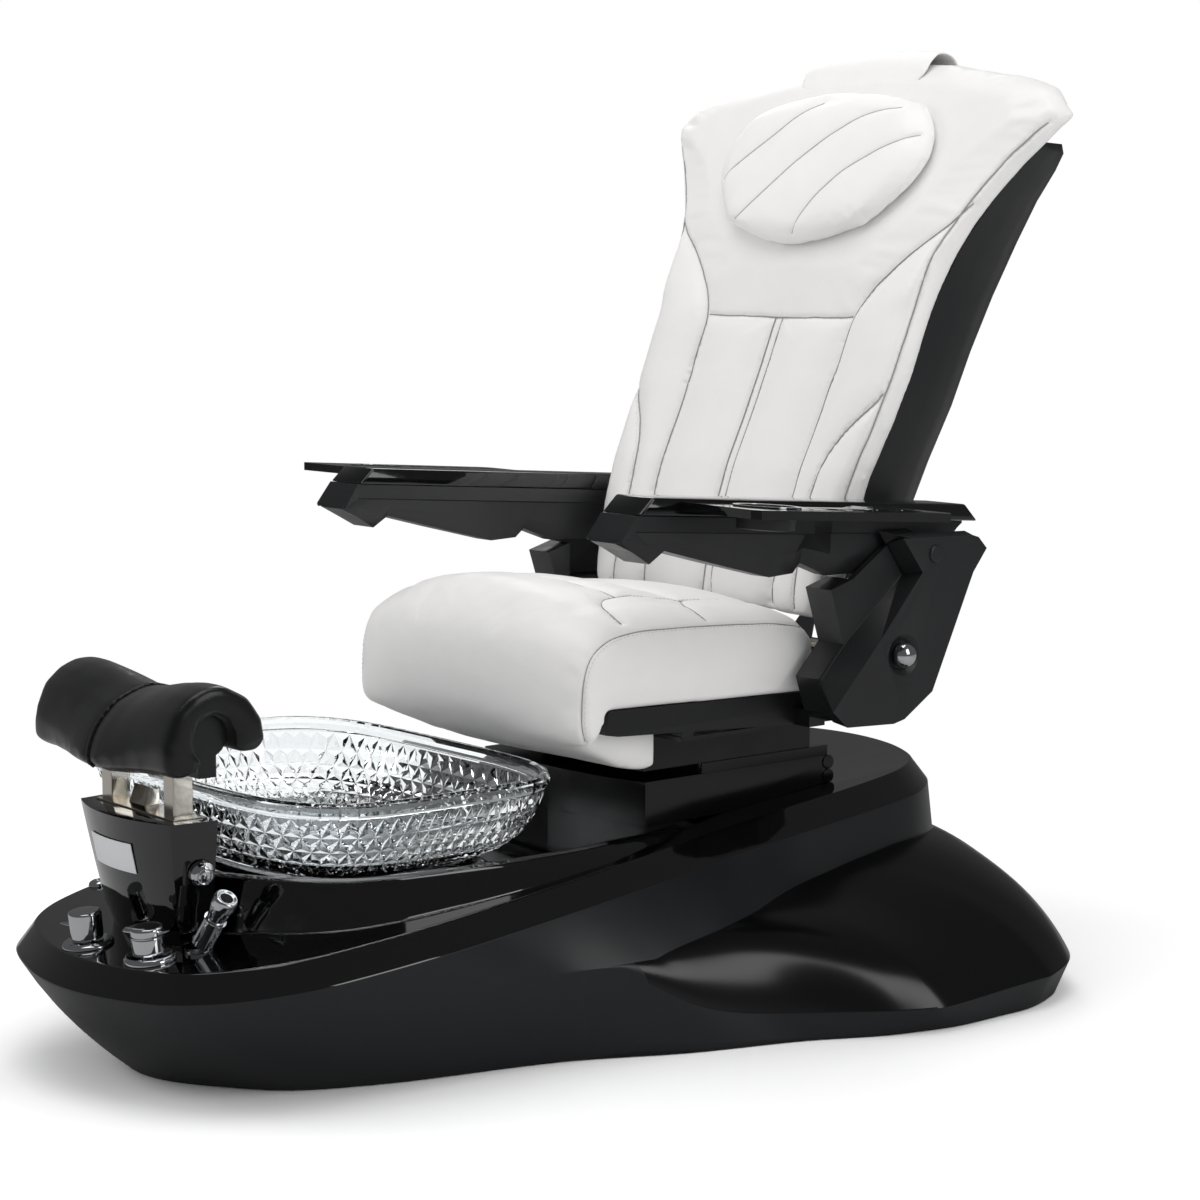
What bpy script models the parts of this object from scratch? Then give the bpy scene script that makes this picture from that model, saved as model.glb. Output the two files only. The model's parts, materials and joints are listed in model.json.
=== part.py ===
"""Pedicure spa chair: a moulded base with a crystal-cut glass foot bowl, a console that carries a footrest
on two telescoping posts, and a sliding, reclining seat with lifting arms and fold-up trays.

Metres, +Z up, origin on the floor at the middle of the base. The sitter faces -Y and their left is +X.
"""

import math

import bmesh
import bpy
import numpy as np
from mathutils import Matrix, Vector

GAP = 0.0003  # left between pieces that touch

# base hull
BASE_FRONT = -0.772
BASE_REAR = 0.772
FOOT_FRONT = -0.650
HULL_WALL = 0.006
DECK_FRONT = -0.746
DECK_REAR = 0.635
DECK_FRONT_Z = 0.174
DECK_SLOPE = 0.10
BEVEL_OUT = BASE_FRONT * -1 + DECK_FRONT
BEVEL_DROP = 0.034
HULL_BULGE = 0.012
HULL_COLUMNS = 22
PLATFORM_Z = 0.268
PLATFORM_FRONT = -0.590
PLATFORM_REAR = 0.235
PLATFORM_INSET = 0.014

# half widths along Y
FOOT_WIDTHS = [(-0.605, 0.114), (-0.536, 0.192), (-0.417, 0.246), (-0.191, 0.307), (-0.022, 0.385),
               (0.126, 0.435), (0.259, 0.495), (0.368, 0.517), (0.469, 0.517), (0.569, 0.488),
               (0.650, 0.410), (0.720, 0.270)]
DECK_WIDTHS = [(-0.733, 0.095), (-0.700, 0.182), (-0.620, 0.248), (-0.530, 0.276), (-0.380, 0.285),
               (-0.160, 0.276), (0.009, 0.263), (0.181, 0.247), (0.380, 0.240), (0.500, 0.228),
               (0.575, 0.190), (0.615, 0.120)]
PLATFORM_WIDTHS = [(-0.545, 0.125), (-0.450, 0.216), (-0.380, 0.238), (-0.157, 0.258), (0.020, 0.238),
                   (0.150, 0.190), (0.205, 0.120)]
CREASE_Z = [(-0.10, 0.127), (-0.09, 0.130), (-0.026, 0.142), (0.097, 0.159), (0.269, 0.173), (0.387, 0.192),
            (0.50, 0.203), (0.65, 0.196)]
RIM_Z = [(-0.10, 0.128), (-0.048, 0.121), (-0.02, 0.094), (0.03, 0.058), (0.089, 0.043), (0.168, 0.037),
         (0.28, 0.036), (0.45, 0.043), (0.60, 0.050), (0.772, 0.060)]
LEDGE = 0.008
RIM_OUT = 0.020
RIM_HALF = 0.529
HULL_CLEAR = 0.001

# glass bowl
BOWL_HALF_WIDTH = 0.330
BOWL_FRONT = -0.594
BOWL_REAR = -0.148
BOWL_RIM_Z = 0.389
BOWL_SIDES = 72
FACET_DEPTH = 0.003
FACET_ROWS = [(0.735, 0.279), (0.815, 0.286), (0.872, 0.296), (0.912, 0.308), (0.938, 0.322),
              (0.956, 0.338), (0.968, 0.354)]
DRAIN_HOLE = 0.024
DRAIN_FLANGE = 0.033
TAIL_RADIUS = 0.019

# console at the front of the bowl
TOWER_HALF_TOP = 0.124
TOWER_HALF_FOOT = 0.088
TOWER_TOP_Z = 0.350
TOWER_REAR = -0.5985
TOWER_RIDGE_TOP = -0.664
TOWER_RIDGE_FOOT = -0.634
TOWER_BULGE = 0.026
TOWER_PLATE = 0.002
POST_X = 0.080
POST_Y = -0.630
POST_WIDTH = 0.025
POST_DEPTH = 0.029
POST_TOP_Z = 0.411
POST_FOOT_Z = 0.250
POST_DROP = 0.040

# footrest
REST_Y = -0.628
REST_Z = 0.463
REST_CORE = 0.0300
REST_HALF = 0.175

# deck controls
TAP_HOT = (0.105, -0.690)
TAP_COLD = (-0.022, -0.708)
TAP_RING = 0.034
TAP_KNOB = 0.0215
TAP_TOP = 0.045
TAP_STEM = 0.008
NOZZLE_AT = (-0.262, -0.560)
SPRAY_AT = (0.122, -0.628)
DIVERTER_AT = (-0.618, 0.283)
VALVE_RADIUS = 0.020

# pedestal and slide
PED_HALF = 0.188
PED_FRONT = 0.054
PED_REAR = 0.404
PED_TOP_Z = 0.330
PED_WALL = 0.006
PED_BULGE = 0.026
ROLL_RADIUS = 0.0105
RAIL_WIDTH = 0.014
RAIL_FRONT = 0.160
SLIDE_Z = 0.345
SLIDE_TOP_Z = 0.396
SLIDE_FRONT = 0.050
SLIDE_REAR = 0.369
SLIDE_TRAVEL = 0.150
SCREW_Z = 0.300
SCREW_RADIUS = 0.006
NUT_Y = 0.200

# seat
SEAT_HALF = 0.270
SEAT_REAR = 0.306
FRAME_HALF = 0.262
FRAME_BEAM = 0.020
FRAME_PLATE = 0.006
RAIL_FRONT_Y = -0.077
RAIL_REAR_Y = 0.300
RAIL_TOP_FRONT = 0.4535
RAIL_TOP_REAR = 0.4440
CUSHION_BASE_Z = 0.458
HINGE_Y = 0.360
HINGE_Z = 0.500
SHAFT_RADIUS = 0.010
LEVER_LENGTH = 0.064
LEVER_X = 0.060
LEVER_PLATE = 0.008
ROD_X = 0.050
ROD_RADIUS = 0.006
PIN_RADIUS = 0.004

# side shells and arms
SHELL_INNER = 0.293
SHELL_MID = 0.345
SHELL_OUTER = 0.378
SHELL_PLATE = 0.0145
ARM_INNER = 0.2835
ARM_OUTER = 0.3625
ARM_PIVOT_Y = 0.430
ARM_PIVOT_Z = 0.642
PIN_BORE = 0.0103
DOME_Y = 0.3685
DOME_Z = 0.503
DISH_RADIUS = 0.030
DOME_RADIUS = 0.0185
STEM_RADIUS = 0.0063
CAP_THICK = 0.024
TRAY_THICK = 0.012
TRAY_OUT = 0.530
TRAY_FRONT = -0.040
TRAY_BACK = 0.314
CUP_Y = 0.045
CUP_RADIUS = 0.040
CUP_DEPTH = 0.030

# back
BACK_FOOT_Z = 0.550
BACK_TOP_Z = 1.364
BACK_CORNER_DROP = 0.069
BACK_TOP_HALF = 0.4275
BACK_CORNER_ROUND = 0.028
BACK_THICK = 0.042
BACK_CLEAR = 0.0018
FRAME_CLEAR = 0.0028
BACK_LINE = [(0.548, 0.318), (0.707, 0.353), (0.865, 0.424), (0.975, 0.470), (1.138, 0.555),
             (1.295, 0.637), (1.364, 0.673)]
BACK_WIDTHS = [(0.0, 0.260), (0.22, 0.269), (0.28, 0.273), (0.42, 0.283), (0.55, 0.285), (0.66, 0.296),
               (0.765, 0.328), (0.85, 0.366), (0.93, 0.401), (1.0, 0.4190)]
SEAM_FOOT_X = 0.142
SEAM_TOP_X = 0.158
SEAM_Z = 0.977
SHELL_WALL = 0.004
SHELL_FOOT_Z = 0.600
SHELL_TOP_Z = 1.222
SHELL_DEPTHS = [(0.60, 0.135), (0.72, 0.148), (0.874, 0.156), (0.997, 0.166), (1.08, 0.157),
                (1.16, 0.142), (1.20, 0.124)]
PILLOW_Z = 1.200
PILLOW_HALF = 0.222
PILLOW_UP = 0.106
PILLOW_DOWN = 0.125
PILLOW_THICK = 0.052
STRAP_HALF = 0.135
STRAP_THICK = 0.004

# steel base frame
TUBE = 0.030
FRAME_Z = 0.0303
FRAME_X = 0.150
FRAME_FRONT = -0.460
FRAME_BACK = 0.520
FOOT_PAD = 0.022


def clear_scene():
    for obj in list(bpy.data.objects):
        bpy.data.objects.remove(obj, do_unlink=True)


clear_scene()
PARTS = bpy.data.collections.new("pedicure_spa_chair")
CUTTERS = bpy.data.collections.new("pedicure_spa_chair_cutters")
bpy.context.scene.collection.children.link(PARTS)
bpy.context.scene.collection.children.link(CUTTERS)
PLACE = {}


def material(name, color, rough, metal=0.0):
    mat = bpy.data.materials.new(name)
    mat.use_nodes = True
    shader = mat.node_tree.nodes["Principled BSDF"]
    shader.inputs["Base Color"].default_value = (*color, 1.0)
    shader.inputs["Roughness"].default_value = rough
    shader.inputs["Metallic"].default_value = metal
    mat.diffuse_color = (*color, 1.0)
    return mat


def empty(name, at, parent=None):
    node = bpy.data.objects.new(name, None)
    node.empty_display_size = 0.05
    PLACE[name] = Vector(at)
    node.location = PLACE[name] - (PLACE[parent.name] if parent else Vector())
    node.parent = parent
    PARTS.objects.link(node)
    return node


def put(name, mesh, mat, at=(0, 0, 0), parent=None):
    obj = bpy.data.objects.new(name, mesh)
    PARTS.objects.link(obj)
    obj.parent = parent
    obj.location = Vector(at) - (PLACE[parent.name] if parent else Vector())
    mesh.materials.append(mat)
    return obj


def closed(name, bm, at=(0, 0, 0), sharp=32):
    """The shape in bm, drawn in world coordinates, as a mesh about the point `at`."""
    bmesh.ops.recalc_face_normals(bm, faces=bm.faces)
    if bm.calc_volume(signed=True) < 0:
        bmesh.ops.reverse_faces(bm, faces=bm.faces)
    bmesh.ops.translate(bm, verts=bm.verts, vec=-Vector(at))
    mesh = bpy.data.meshes.new(name)
    bm.to_mesh(mesh)
    bm.free()
    mesh.shade_smooth()
    mesh.set_sharp_from_angle(angle=math.radians(sharp))
    return mesh


def piece(name, bm, mat, at=(0, 0, 0), parent=None, sharp=32):
    return put(name, closed(name, bm, at, sharp), mat, at, parent)


def boolean(obj, bm, operation, label):
    """A Boolean with the shape in bm, drawn in world coordinates."""
    mesh = closed(obj.name + "_" + label, bm)
    tool = bpy.data.objects.new(mesh.name, mesh)
    CUTTERS.objects.link(tool)
    tool.hide_render = True
    tool.display_type = "WIRE"
    step = obj.modifiers.new(label, "BOOLEAN")
    step.operation = operation
    step.object = tool
    step.solver = "EXACT"


def cut(obj, bm, label):
    boolean(obj, bm, "DIFFERENCE", label)


def join(obj, bm, label):
    boolean(obj, bm, "UNION", label)


def bevel(obj, width, segments=1, angle=30):
    step = obj.modifiers.new("edges", "BEVEL")
    step.width = width
    step.segments = segments
    step.limit_method = "ANGLE"
    step.angle_limit = math.radians(angle)
    return step


def box(lo, hi, bm=None):
    bm = bm or bmesh.new()
    lo, hi = Vector(lo), Vector(hi)
    size = hi - lo
    matrix = Matrix.Translation((lo + hi) / 2) @ Matrix.Diagonal((*size, 1.0))
    bmesh.ops.create_cube(bm, size=1.0, matrix=matrix)
    return bm


def facing(direction):
    return Vector(direction).to_track_quat("Z", "Y").to_matrix().to_4x4()


def rod(start, end, radius, sides=20, bm=None, tip=None):
    bm = bm or bmesh.new()
    start, end = Vector(start), Vector(end)
    spin = Matrix.Rotation(math.pi / sides, 4, "Z")
    matrix = Matrix.Translation((start + end) / 2) @ facing(end - start) @ spin
    bmesh.ops.create_cone(bm, cap_ends=True, segments=sides, radius1=radius,
                          radius2=radius if tip is None else tip, depth=(end - start).length, matrix=matrix)
    return bm


def loft(rings, flat=False, bm=None):
    """Quads between rings of equal count; each end is closed by a fan about its middle, or by one flat face."""
    bm = bm or bmesh.new()
    rows = [[bm.verts.new(p) for p in ring] for ring in rings]
    count = len(rows[0])
    for a, b in zip(rows, rows[1:]):
        for i in range(count):
            k = (i + 1) % count
            bm.faces.new((a[i], a[k], b[k], b[i]))
    for row in (rows[0], rows[-1]):
        if flat:
            bm.faces.new(row)
            continue
        middle = bm.verts.new(sum((v.co for v in row), Vector()) / count)
        for i in range(count):
            bm.faces.new((row[i], row[(i + 1) % count], middle))
    return bm


def prism(outline, x0, x1, bm=None):
    """An outline of (y, z) points carried from x0 to x1."""
    bm = bm or bmesh.new()
    face = bm.faces.new([bm.verts.new((x0, y, z)) for y, z in outline])
    more = bmesh.ops.extrude_face_region(bm, geom=[face])["geom"]
    bmesh.ops.translate(bm, verts=[g for g in more if isinstance(g, bmesh.types.BMVert)], vec=(x1 - x0, 0, 0))
    return bm


def slab(front, rear, swell=0.0, bm=None):
    """A closed pad between two grids of equal size, its edge swelling outwards by `swell`."""
    bm = bm or bmesh.new()
    rows, cols = len(front), len(front[0])
    a = [[bm.verts.new(p) for p in row] for row in front]
    b = [[bm.verts.new(p) for p in row] for row in rear]
    for j in range(rows - 1):
        for i in range(cols - 1):
            bm.faces.new((a[j][i], a[j][i + 1], a[j + 1][i + 1], a[j + 1][i]))
            bm.faces.new((b[j][i], b[j + 1][i], b[j + 1][i + 1], b[j][i + 1]))
    loop = [(0, i) for i in range(cols)] + [(j, cols - 1) for j in range(1, rows)]
    loop += [(rows - 1, i) for i in range(cols - 2, -1, -1)] + [(j, 0) for j in range(rows - 2, 0, -1)]
    edge = []
    for j, i in loop:
        middle = (a[j][i].co + b[j][i].co) / 2
        if swell:
            inner = a[min(max(j, 1), rows - 2)][min(max(i, 1), cols - 2)].co
            inner = inner + b[min(max(j, 1), rows - 2)][min(max(i, 1), cols - 2)].co
            middle += (middle - inner / 2).normalized() * swell
        edge.append(bm.verts.new(middle))
    for n in range(len(loop)):
        (j, i), (q, p) = loop[n], loop[(n + 1) % len(loop)]
        m, k = edge[n], edge[(n + 1) % len(loop)]
        bm.faces.new((a[j][i], m, k, a[q][p]))
        bm.faces.new((m, b[j][i], b[q][p], k))
    return bm


def curve_through(points):
    """A monotone cubic through (t, value) points, as a function of t."""
    xs = np.array([p[0] for p in points], float)
    ys = np.array([p[1] for p in points], float)
    h = np.diff(xs)
    d = np.diff(ys) / h
    m = np.zeros(len(xs))
    m[0], m[-1] = d[0], d[-1]
    for k in range(1, len(xs) - 1):
        if d[k - 1] * d[k] > 0:
            w1, w2 = 2 * h[k] + h[k - 1], h[k] + 2 * h[k - 1]
            m[k] = (w1 + w2) / (w1 / d[k - 1] + w2 / d[k])

    def value(t):
        t = min(max(t, xs[0]), xs[-1])
        k = min(int(np.searchsorted(xs, t, side="right")) - 1, len(h) - 1)
        s = (t - xs[k]) / h[k]
        return float(ys[k] * (1 + 2 * s) * (1 - s) ** 2 + m[k] * h[k] * s * (1 - s) ** 2
                     + ys[k + 1] * s * s * (3 - 2 * s) + m[k + 1] * h[k] * s * s * (s - 1))

    return value


def ease(x, a, b):
    t = min(max((x - a) / (b - a), 0.0), 1.0)
    return t * t * (3 - 2 * t)


def turned(name, profile, mat, at, direction=(0, 0, 1), parent=None, steps=20, ring=False):
    """A profile of (radius, height) points, top to bottom on its outer side, turned about `direction`."""
    mesh = bpy.data.meshes.new(name)
    edges = [(i, i + 1) for i in range(len(profile) - 1)]
    if ring:
        edges.append((len(profile) - 1, 0))
    mesh.from_pydata([(r, 0, h) for r, h in profile], edges, [])
    obj = put(name, mesh, mat, at, parent)
    obj.rotation_euler = facing(direction).to_euler()
    screw = obj.modifiers.new("turn", "SCREW")
    screw.steps = steps
    screw.render_steps = steps
    screw.use_merge_vertices = True
    screw.merge_threshold = 1e-5
    screw.use_smooth_shade = True
    return obj


def tube(name, points, radius, mat, parent=None, resolution=2):
    data = bpy.data.curves.new(name, "CURVE")
    data.dimensions = "3D"
    data.bevel_depth = radius
    data.bevel_resolution = resolution
    data.use_fill_caps = True
    spline = data.splines.new("POLY")
    spline.points.add(len(points) - 1)
    at = Vector(points[0])
    for knot, p in zip(spline.points, points):
        knot.co = (*(Vector(p) - at), 1.0)
    obj = bpy.data.objects.new(name, data)
    PARTS.objects.link(obj)
    obj.parent = parent
    obj.location = at - (PLACE[parent.name] if parent else Vector())
    data.materials.append(mat)
    return obj


# ---------------------------------------------------------------- base

def deck_z(y):
    return DECK_FRONT_Z + DECK_SLOPE * (y - DECK_FRONT)


DECK_UP = Vector((0, -DECK_SLOPE, 1)).normalized()


def on_deck(x, y, lift=GAP):
    return Vector((x, y, deck_z(y))) + DECK_UP * lift


def half_outline(front, rear, widths):
    """Half an outline from its front to its rear, with both ends rounded."""
    where = [math.acos(1 - 2 * (y - front) / (rear - front)) / math.pi for y, x in widths]
    half = curve_through([(0.0, 0.0)] + [(t, x) for t, (y, x) in zip(where, widths)] + [(1.0, 0.0)])
    out = []
    for i in range(HULL_COLUMNS + 1):
        t = i / HULL_COLUMNS
        y = front + (rear - front) * (1 - math.cos(math.pi * t)) / 2
        out.append(Vector((half(t) if 0 < i < HULL_COLUMNS else 0.0, y, 0.0)))
    return out


def outwards(outline):
    found = []
    for i in range(len(outline)):
        a, b = outline[max(i - 1, 0)], outline[min(i + 1, len(outline) - 1)]
        along = (b - a).normalized()
        found.append(Vector((along.y, -along.x, 0)))
    found[0], found[-1] = Vector((0, -1, 0)), Vector((0, 1, 0))
    return found


def hull_rows():
    """Rows of the half hull, from the floor up the side, over the deck and onto the bowl's platform."""
    foot = half_outline(FOOT_FRONT, BASE_REAR, FOOT_WIDTHS)
    deck = half_outline(DECK_FRONT, DECK_REAR, DECK_WIDTHS)
    stage = half_outline(PLATFORM_FRONT, PLATFORM_REAR, PLATFORM_WIDTHS)
    side = outwards(deck)
    stage_side = outwards(stage)
    foot_side = outwards(foot)
    crease, rim = curve_through(CREASE_Z), curve_through(RIM_Z)
    rows = [[] for _ in range(12)]
    for i in range(HULL_COLUMNS + 1):
        edge = deck[i] + Vector((0, 0, deck_z(deck[i].y)))
        low = deck[i] + side[i] * BEVEL_OUT + Vector((0, 0, deck_z(deck[i].y) - BEVEL_DROP))
        floor = foot[i] + Vector((0, 0, HULL_CLEAR))
        scoop = ease(low.y, -0.14, -0.06)

        def on_side(z):
            u = (low.z - z) / low.z
            return low.lerp(floor, u) + side[i] * (HULL_BULGE * 4 * u * (1 - u))

        ledge = low + side[i] * LEDGE
        turn_z, lip_z = crease(ledge.y), rim(floor.y)
        turn = on_side(turn_z).lerp(ledge, ease(low.y, 0.0, 0.30))
        out = floor + foot_side[i] * (RIM_OUT * ease(floor.y, 0.0, 0.3) * (1 - ease(floor.y, 0.62, 0.76)))
        out.x = min(out.x, RIM_HALF)
        lip = on_side(lip_z).lerp(out, ease(low.y, -0.08, 0.22))
        turn.z, lip.z = turn_z, lip_z
        pull = turn.lerp(lip, 0.76)
        pull.z = lip.z + 0.74 * (turn.z - lip.z)
        track = [turn]
        for u in (0.25, 0.5, 0.75):
            track.append(turn * (1 - u) ** 2 + pull * 2 * u * (1 - u) + lip * u * u)
        track += [lip, floor]
        shares = (0.35, 0.52, 0.66, 0.79, 0.90, 1.0)
        line = []
        for u, bowed in zip(shares, track):
            plain = low.lerp(floor, u) + side[i] * (HULL_BULGE * 4 * u * (1 - u))
            line.append(plain.lerp(bowed, scoop))
        top = stage[i] - stage_side[i] * PLATFORM_INSET
        top.x = max(top.x, 0.0) if 0 < i < HULL_COLUMNS else 0.0
        wall = stage[i] + Vector((0, 0, deck_z(stage[i].y)))
        wall.z = min(wall.z, PLATFORM_Z - 0.002)
        shoulder = stage[i].lerp(top, 0.55)
        shoulder.z = PLATFORM_Z - 0.004
        top.z = PLATFORM_Z
        spine = Vector((0, top.y, PLATFORM_Z))
        for row, point in zip(rows, line[::-1] + [low, edge, wall, shoulder, top, spine]):
            row.append(point)
    for row in rows:
        row[0].x = row[-1].x = 0.0
    return rows


def make_base(root):
    gloss = material("gloss_black_shell", (0.012, 0.012, 0.013), 0.12)
    bm = bmesh.new()
    rows = [[bm.verts.new(p) for p in row] for row in hull_rows()]
    for a, b in zip(rows, rows[1:]):
        for i in range(HULL_COLUMNS):
            bm.faces.new((a[i], a[i + 1], b[i + 1], b[i]))
    bmesh.ops.remove_doubles(bm, verts=bm.verts, dist=1e-5)
    bmesh.ops.dissolve_degenerate(bm, edges=bm.edges, dist=1e-6)
    bmesh.ops.recalc_face_normals(bm, faces=bm.faces)
    if sum(f.normal.z * f.calc_area() for f in bm.faces) < 0:
        bmesh.ops.reverse_faces(bm, faces=bm.faces)
    mesh = bpy.data.meshes.new("base_shell")
    bm.to_mesh(mesh)
    bm.free()
    mesh.shade_smooth()
    mesh.set_sharp_from_angle(angle=math.radians(28))
    base = put("base_shell", mesh, gloss, parent=root)
    mirror = base.modifiers.new("other_side", "MIRROR")
    mirror.merge_threshold = 1e-4
    shell = base.modifiers.new("wall", "SOLIDIFY")
    shell.thickness = HULL_WALL
    shell.offset = -1.0
    shell.use_even_offset = True
    shell.use_rim = True
    middle = (BOWL_FRONT + BOWL_REAR) / 2
    cut(base, rod((0, middle, PLATFORM_Z - 0.03), (0, middle, PLATFORM_Z + 0.03), DRAIN_FLANGE), "drain_hole")
    for name, (x, y) in (("hot", TAP_HOT), ("cold", TAP_COLD)):
        cut(base, rod(on_deck(x, y, -0.03), on_deck(x, y, 0.03), TAP_STEM + 2 * GAP, 16), name + "_hole")
    return base


def bowl_ring(share, z, square=4.0, sink=None):
    half_length = (BOWL_REAR - BOWL_FRONT) / 2
    middle = (BOWL_REAR + BOWL_FRONT) / 2
    ring = []
    for i in range(BOWL_SIDES):
        t = 2 * math.pi * (i + 0.5 * (sink is not None and sink % 2)) / BOWL_SIDES
        c, s = math.cos(t), math.sin(t)
        reach = (abs(c) ** square + abs(s) ** square) ** (-1 / square)
        x, y = BOWL_HALF_WIDTH * share * reach * c, half_length * share * reach * s
        if sink is not None and (i - sink // 2 - sink) % 3 == 0 and 0 < sink < len(FACET_ROWS) - 1:
            away = Vector((x, y, -0.08)).normalized()
            x, y, z_here = x - away.x * FACET_DEPTH, y - away.y * FACET_DEPTH, z - away.z * FACET_DEPTH
        else:
            z_here = z
        ring.append((x, middle + y, z_here))
    return ring


def round_ring(radius, z):
    middle = (BOWL_REAR + BOWL_FRONT) / 2
    return [(radius * math.cos(2 * math.pi * i / BOWL_SIDES),
             middle + radius * math.sin(2 * math.pi * i / BOWL_SIDES), z) for i in range(BOWL_SIDES)]


def make_bowl(root):
    """The wall is cut in stars: on a lattice of triangles every third corner is sunk, so six facets meet there."""
    glass = material("clear_glass", (0.78, 0.84, 0.87), 0.05)
    bottom = PLATFORM_Z + GAP
    rim = BOWL_RIM_Z
    bm = bmesh.new()
    lower = [round_ring(DRAIN_HOLE, bottom), bowl_ring(0.66, bottom, 2.6), bowl_ring(0.715, bottom + 0.004, 2.8)]
    wall = [bowl_ring(f, z, 2.9 + 1.1 * k / (len(FACET_ROWS) - 1), k) for k, (f, z) in enumerate(FACET_ROWS)]
    upper = [bowl_ring(0.988, rim - 0.025), bowl_ring(1.0, rim - 0.016), bowl_ring(0.998, rim - 0.005),
             bowl_ring(0.982, rim), bowl_ring(0.962, rim - 0.001), bowl_ring(0.946, rim - 0.008),
             bowl_ring(0.934, rim - 0.022), bowl_ring(0.926, rim - 0.042), bowl_ring(0.905, rim - 0.066, 3.8),
             bowl_ring(0.868, rim - 0.083, 3.6), bowl_ring(0.800, rim - 0.094, 3.3),
             bowl_ring(0.690, rim - 0.101, 3.0), round_ring(DRAIN_HOLE, rim - 0.1035)]
    rows = [[bm.verts.new(p) for p in ring] for ring in lower + wall + upper]
    first = len(lower)
    n = BOWL_SIDES
    for k in range(len(rows)):
        a, b = rows[k], rows[(k + 1) % len(rows)]
        in_wall = first <= k < first + len(wall) - 1
        ahead = in_wall and (k - first) % 2 == 1
        for i in range(n):
            j = (i + 1) % n
            if not in_wall:
                bm.faces.new((a[i], a[j], b[j], b[i]))
            elif ahead:
                bm.faces.new((a[i], a[j], b[j]))
                bm.faces.new((a[i], b[j], b[i]))
            else:
                bm.faces.new((a[i], a[j], b[i]))
                bm.faces.new((a[j], b[j], b[i]))
    return piece("bowl", bm, glass, (0, (BOWL_FRONT + BOWL_REAR) / 2, bottom), root, 20)


def make_drain(root):
    chrome = material("drain_chrome", (0.75, 0.75, 0.76), 0.1, 1.0)
    floor = BOWL_RIM_Z - 0.1035
    depth = floor - (PLATFORM_Z - 0.028)
    middle = (BOWL_FRONT + BOWL_REAR) / 2
    neck = DRAIN_HOLE - 2 * GAP
    profile = [(0, 0.0045), (0.014, 0.0042), (0.026, 0.0025), (DRAIN_FLANGE, 0.0008), (DRAIN_FLANGE, 0.0),
               (neck, 0.0), (neck, -(floor - PLATFORM_Z) - 0.008), (TAIL_RADIUS, -(floor - PLATFORM_Z) - 0.010),
               (TAIL_RADIUS, -depth), (0, -depth)]
    turned("drain", profile, chrome, (0, middle, floor + GAP), parent=root, steps=24)
    pipe = material("grey_pipe", (0.35, 0.36, 0.37), 0.6)
    start = PLATFORM_Z - 0.028
    elbow = 0.06
    knots = [(0, middle, start), (0, middle, 0.165)]
    for k in range(1, 6):
        a = k * math.pi / 10
        knots.append((0, middle + elbow * (1 - math.cos(a)), 0.165 - elbow * math.sin(a)))
    knots.append((0, -0.0803, 0.165 - elbow))
    tube("drain_pipe", knots, TAIL_RADIUS, pipe, root, 3)
    steel = material("pump_housing", (0.10, 0.10, 0.11), 0.5)
    pump = rod((0, -0.08, 0.105), (0, 0.02, 0.105), 0.040, 24)
    pump = piece("discharge_pump", pump, steel, (0, -0.03, 0.105), root)
    join(pump, rod((0, 0.015, 0.105), (0, 0.085, 0.105), 0.030, 24), "motor")
    join(pump, box((-0.030, -0.060, FRAME_Z + TUBE + GAP), (0.030, 0.010, 0.075)), "foot")


def tower_section(share, z):
    """Half the console's plan at one height, from the middle of its bowed face to the middle of its rear."""
    half = TOWER_HALF_FOOT + (TOWER_HALF_TOP - 0.009 - TOWER_HALF_FOOT) * share
    ridge = TOWER_RIDGE_FOOT + (TOWER_RIDGE_TOP - TOWER_RIDGE_FOOT) * share
    bow = TOWER_BULGE * (0.7 + 0.3 * share)
    points = []
    for k in range(7):
        x = half * k / 6
        points.append((x, ridge - bow * (1 - (x / half) ** 2), z))
    points.append((half + 0.009, TOWER_REAR, z))
    points.append((0.0, TOWER_REAR, z))
    return points


def tower_face(x, z):
    foot_z = deck_z(TOWER_RIDGE_FOOT)
    share = ((z - foot_z) / (TOWER_TOP_Z - foot_z)) ** 0.8
    half = TOWER_HALF_FOOT + (TOWER_HALF_TOP - 0.009 - TOWER_HALF_FOOT) * share
    ridge = TOWER_RIDGE_FOOT + (TOWER_RIDGE_TOP - TOWER_RIDGE_FOOT) * share
    return ridge - TOWER_BULGE * (0.7 + 0.3 * share) * (1 - (x / half) ** 2)


def socket(side, lo, hi):
    wide, deep = POST_WIDTH / 2 + GAP, POST_DEPTH / 2 + GAP
    x = side * POST_X
    return box((x - wide, POST_Y - deep, lo), (x + wide, POST_Y + deep, hi))


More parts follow.
